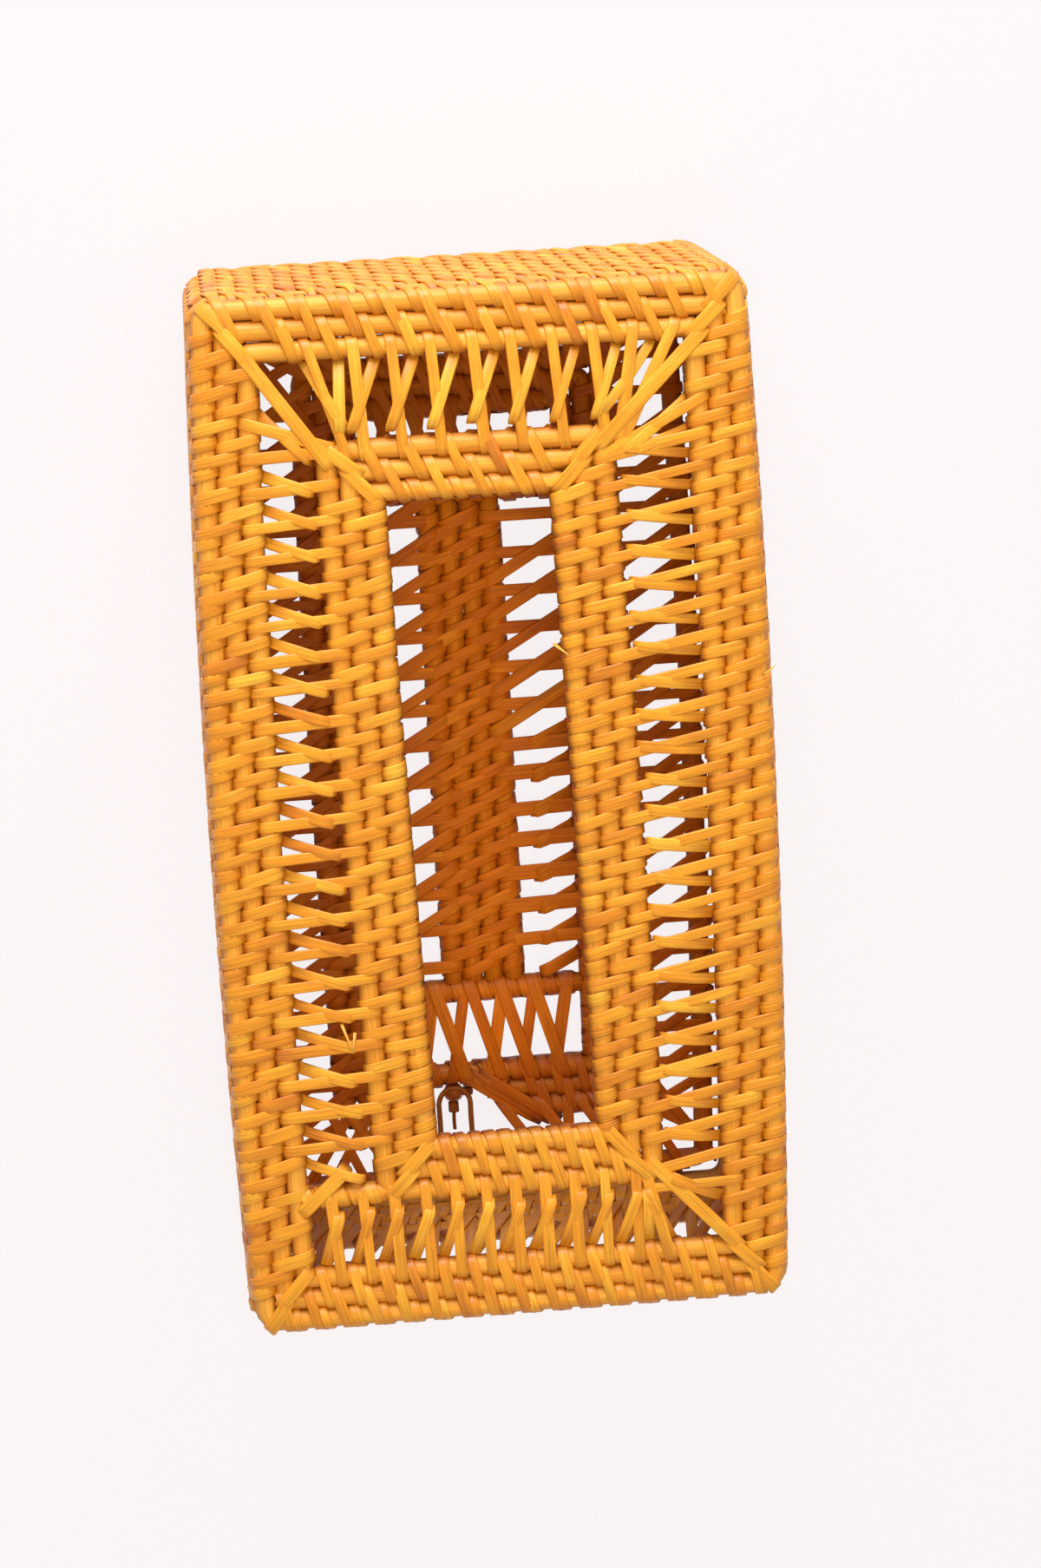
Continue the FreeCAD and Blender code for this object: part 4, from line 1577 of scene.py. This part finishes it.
@dataclass
class Lashings:
    """Turns of peel that tie the base rim to the walls and hang the flap from it.

    Attributes:
        thick: Thickness of the peel.
        wide: Its width.
        tone: Its shade.
        turns: Turns in a lashing.
        turn_pitch: Distance from one turn to the next.
        base_share: Where the base's lashings lie, as a share of half a side.
    """

    thick: float = 0.9
    wide: float = 2.4
    tone: float = 0.6
    turns: int = 2
    turn_pitch: float = 2.5
    base_share: float = 0.75

    def loop(self, first: Point, second: Point) -> Line:
        """Closed line round two canes, in a section.

        Args:
            first: Centre of one cane.
            second: Centre of the other.

        Returns:
            The line, which ends where it starts.
        """
        one, two = np.array(first), np.array(second)
        along = unit(two - one)
        side = np.array([along[1], -along[0]])
        reach = CANE_R + self.thick / 2
        rows = []
        for centre, base in ((one, 0.0), (two, math.pi)):
            for angle in np.linspace(0, math.pi, 9):
                look = side * math.cos(base + angle) - along * math.sin(base + angle)
                rows.append([*(centre + look * reach), *look, 0.0])
        rows.append(rows[0])
        return Line.of(rows)

    def build(self, walls: Walls, flap: Flap) -> None:
        """Wind the lashings of the base and of the hinge.

        Args:
            walls: The walls that the base rim is tied to.
            flap: The flap that hangs from it.
        """
        base = Bundle("base_lashing_turns")
        for side in Side:
            spots = walls.base.spot(side), walls.rows[-1].spot(side)
            for share in (-self.base_share, self.base_share):
                middle = share * walls.base.reach(side)
                self.wind(base, walls.base.section(side), spots, middle)
        base.piece(PEEL, "cover", "peel", "base_lashings")
        hinge = Bundle("hinge_lashing_turns")
        spots = walls.base.spot(Side.HEAD), flap.rim.spot(Side.HEAD)
        across = (highest("hinge_lashings")[0] + lowest("hinge_lashings")[0]) / 2
        spacing = (highest("hinge_lashings")[0] - lowest("hinge_lashings")[0]) / 2 - CANE_R
        for step in (-1, 0, 1):
            self.wind(hinge, walls.base.section(Side.HEAD), spots, across + step * spacing)
        hinge.piece(PEEL, "flap", "peel", "hinge_lashings")

    def wind(self, into: Bundle, section: Section, spots: tuple[Point, Point], middle: float) -> None:
        """Wind a few turns side by side round two canes.

        Args:
            into: The bundle that takes them.
            section: The section across the canes.
            spots: The canes' centres in it.
            middle: Where the turns lie along the side.
        """
        line = self.loop(*spots)
        for turn in range(self.turns):
            place = middle + (turn - (self.turns - 1) / 2) * self.turn_pitch
            into.strand(section, line, np.full(len(line.a), place), self.wide, self.thick, self.tone)


@dataclass(frozen=True)
class Lamp:
    """A square soft lamp.

    Attributes:
        name: Its name.
        at: Its place, in metres.
        aim: The point that it faces.
        edge: Length of its edge, in metres.
        power: Its power, in watts.
        glossy: Whether glossy surfaces mirror it.
    """

    name: str
    at: Place
    aim: Place
    edge: float
    power: float
    glossy: bool = True

    def hang(self) -> None:
        """Hang the lamp."""
        data = bpy.data.lights.new(self.name, "AREA")
        data.size = self.edge
        data.energy = self.power
        lamp = bpy.data.objects.new(self.name, data)
        bpy.context.scene.collection.objects.link(lamp)
        lamp.location = self.at
        away = Vector(self.at) - Vector(self.aim)
        lamp.rotation_euler = away.to_track_quat("Z", "Y").to_euler()
        lamp.visible_glossy = self.glossy


@dataclass
class Studio:
    """Pale paper, soft light from the head end and from above, and a camera above.

    Attributes:
        paper: Colour of the paper.
        paper_rough: Its roughness.
        paper_size: Its edge, in metres.
        paper_share: How much of the paper's own colour the camera sees; the rest takes shadow.
        sky: Colour of the light from all round.
        sky_strength: Its strength.
        lamps: The lamps.
        camera_at: The camera's place.
        camera_turn: The camera's turns about x, y and z, in degrees.
        lens: Its focal length.
        sensor: Width of its sensor.
        shift_up: How far its picture is moved up, as a share of the sensor.
    """

    paper: str = "#fbf5f5"
    paper_rough: float = 0.9
    paper_size: float = 8.0
    paper_share: float = 0.93
    sky: tuple[float, float, float, float] = (1.0, 0.97, 0.94, 1.0)
    sky_strength: float = 0.3
    lamps: tuple[Lamp, ...] = (
        Lamp("key", (-0.04, 0.72, 0.38), (0.0, 0.06, 0.06), 0.45, 6.7),
        Lamp("overhead", (-0.05, 0.1, 1.5), (0.0, 0.0, 0.0), 0.6, 12.3, glossy=False))
    camera_at: Place = (-66.7, 219.7, 1042.2)
    camera_turn: Place = (-9.595, -5.0392, -2.999)
    lens: float = 90.8
    sensor: float = 36.0
    shift_up: float = -0.12

    def build(self) -> None:
        """Set the floor, the lights, the world and the camera."""
        bpy.context.scene.view_settings.view_transform = "Standard"
        self.floor()
        self.world()
        for lamp in self.lamps:
            lamp.hang()
        self.camera()

    def straight_sight(self, tree: bpy.types.NodeTree) -> bpy.types.NodeSocket:
        """Tell the rays that see the paper itself: from the camera, mirrored or through glass.

        Args:
            tree: The tree that gets the nodes.

        Returns:
            The socket, 1 for such rays and 0 for others.
        """
        path = add(tree, "ShaderNodeLightPath")
        mirrored = add(tree, "ShaderNodeMath", {0: path.outputs["Is Camera Ray"],
                                                1: path.outputs["Is Glossy Ray"]}, operation="MAXIMUM")
        seen = add(tree, "ShaderNodeMath", {0: mirrored.outputs[0],
                                            1: path.outputs["Is Transmission Ray"]}, operation="MAXIMUM")
        return seen.outputs[0]

    def floor(self) -> None:
        """A plain pale floor that keeps the object's shadow."""
        bpy.ops.object.select_all(action="DESELECT")
        bpy.ops.mesh.primitive_plane_add(size=self.paper_size)
        floor = bpy.context.active_object
        floor.name = "floor"
        material = bpy.data.materials.new("matt_white_paper")
        material.use_nodes = True
        tree = material.node_tree
        shader = tree.nodes["Principled BSDF"]
        shader.inputs["Base Color"].default_value = linear(self.paper)
        shader.inputs["Roughness"].default_value = self.paper_rough
        glow = add(tree, "ShaderNodeEmission", {"Color": linear(self.paper), "Strength": 1.0})
        share = add(tree, "ShaderNodeMath", {0: self.straight_sight(tree), 1: self.paper_share},
                    operation="MULTIPLY")
        mix = add(tree, "ShaderNodeMixShader", {0: share.outputs[0], 1: shader.outputs[0],
                                                2: glow.outputs[0]})
        tree.links.new(mix.outputs[0], tree.nodes["Material Output"].inputs["Surface"])
        floor.data.materials.append(material)

    def world(self) -> None:
        """Soft light from all round; rays that see straight find plain pale paper instead."""
        world = bpy.data.worlds.new("studio")
        bpy.context.scene.world = world
        world.use_nodes = True
        tree = world.node_tree
        soft = add(tree, "ShaderNodeBackground", {"Color": self.sky, "Strength": self.sky_strength})
        seen = add(tree, "ShaderNodeBackground", {"Color": linear(self.paper), "Strength": 1.0})
        mix = add(tree, "ShaderNodeMixShader", {0: self.straight_sight(tree), 1: soft.outputs[0],
                                                2: seen.outputs[0]})
        tree.links.new(mix.outputs[0], tree.nodes["World Output"].inputs["Surface"])

    def camera(self) -> None:
        """Put the camera above the box, as in the photograph."""
        data = bpy.data.cameras.new("camera")
        data.lens = self.lens
        data.sensor_width = self.sensor
        data.shift_y = self.shift_up
        camera = bpy.data.objects.new("camera", data)
        bpy.context.scene.collection.objects.link(camera)
        camera.location = [METRE * c for c in self.camera_at]
        camera.rotation_euler = [math.radians(c) for c in self.camera_turn]
        bpy.context.scene.camera = camera


def main() -> None:
    """Build the cover's sub-assemblies in order and light them."""
    logging.basicConfig(level=logging.INFO, format="%(message)s")
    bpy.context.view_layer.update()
    walls = Walls()
    flap = Flap()
    walls.build()
    Top().build(walls.rows[0])
    flap.build()
    Lashings().build(walls, flap)
    Closure().build()
    Studio().build()


if __name__ == "__main__":
    main()
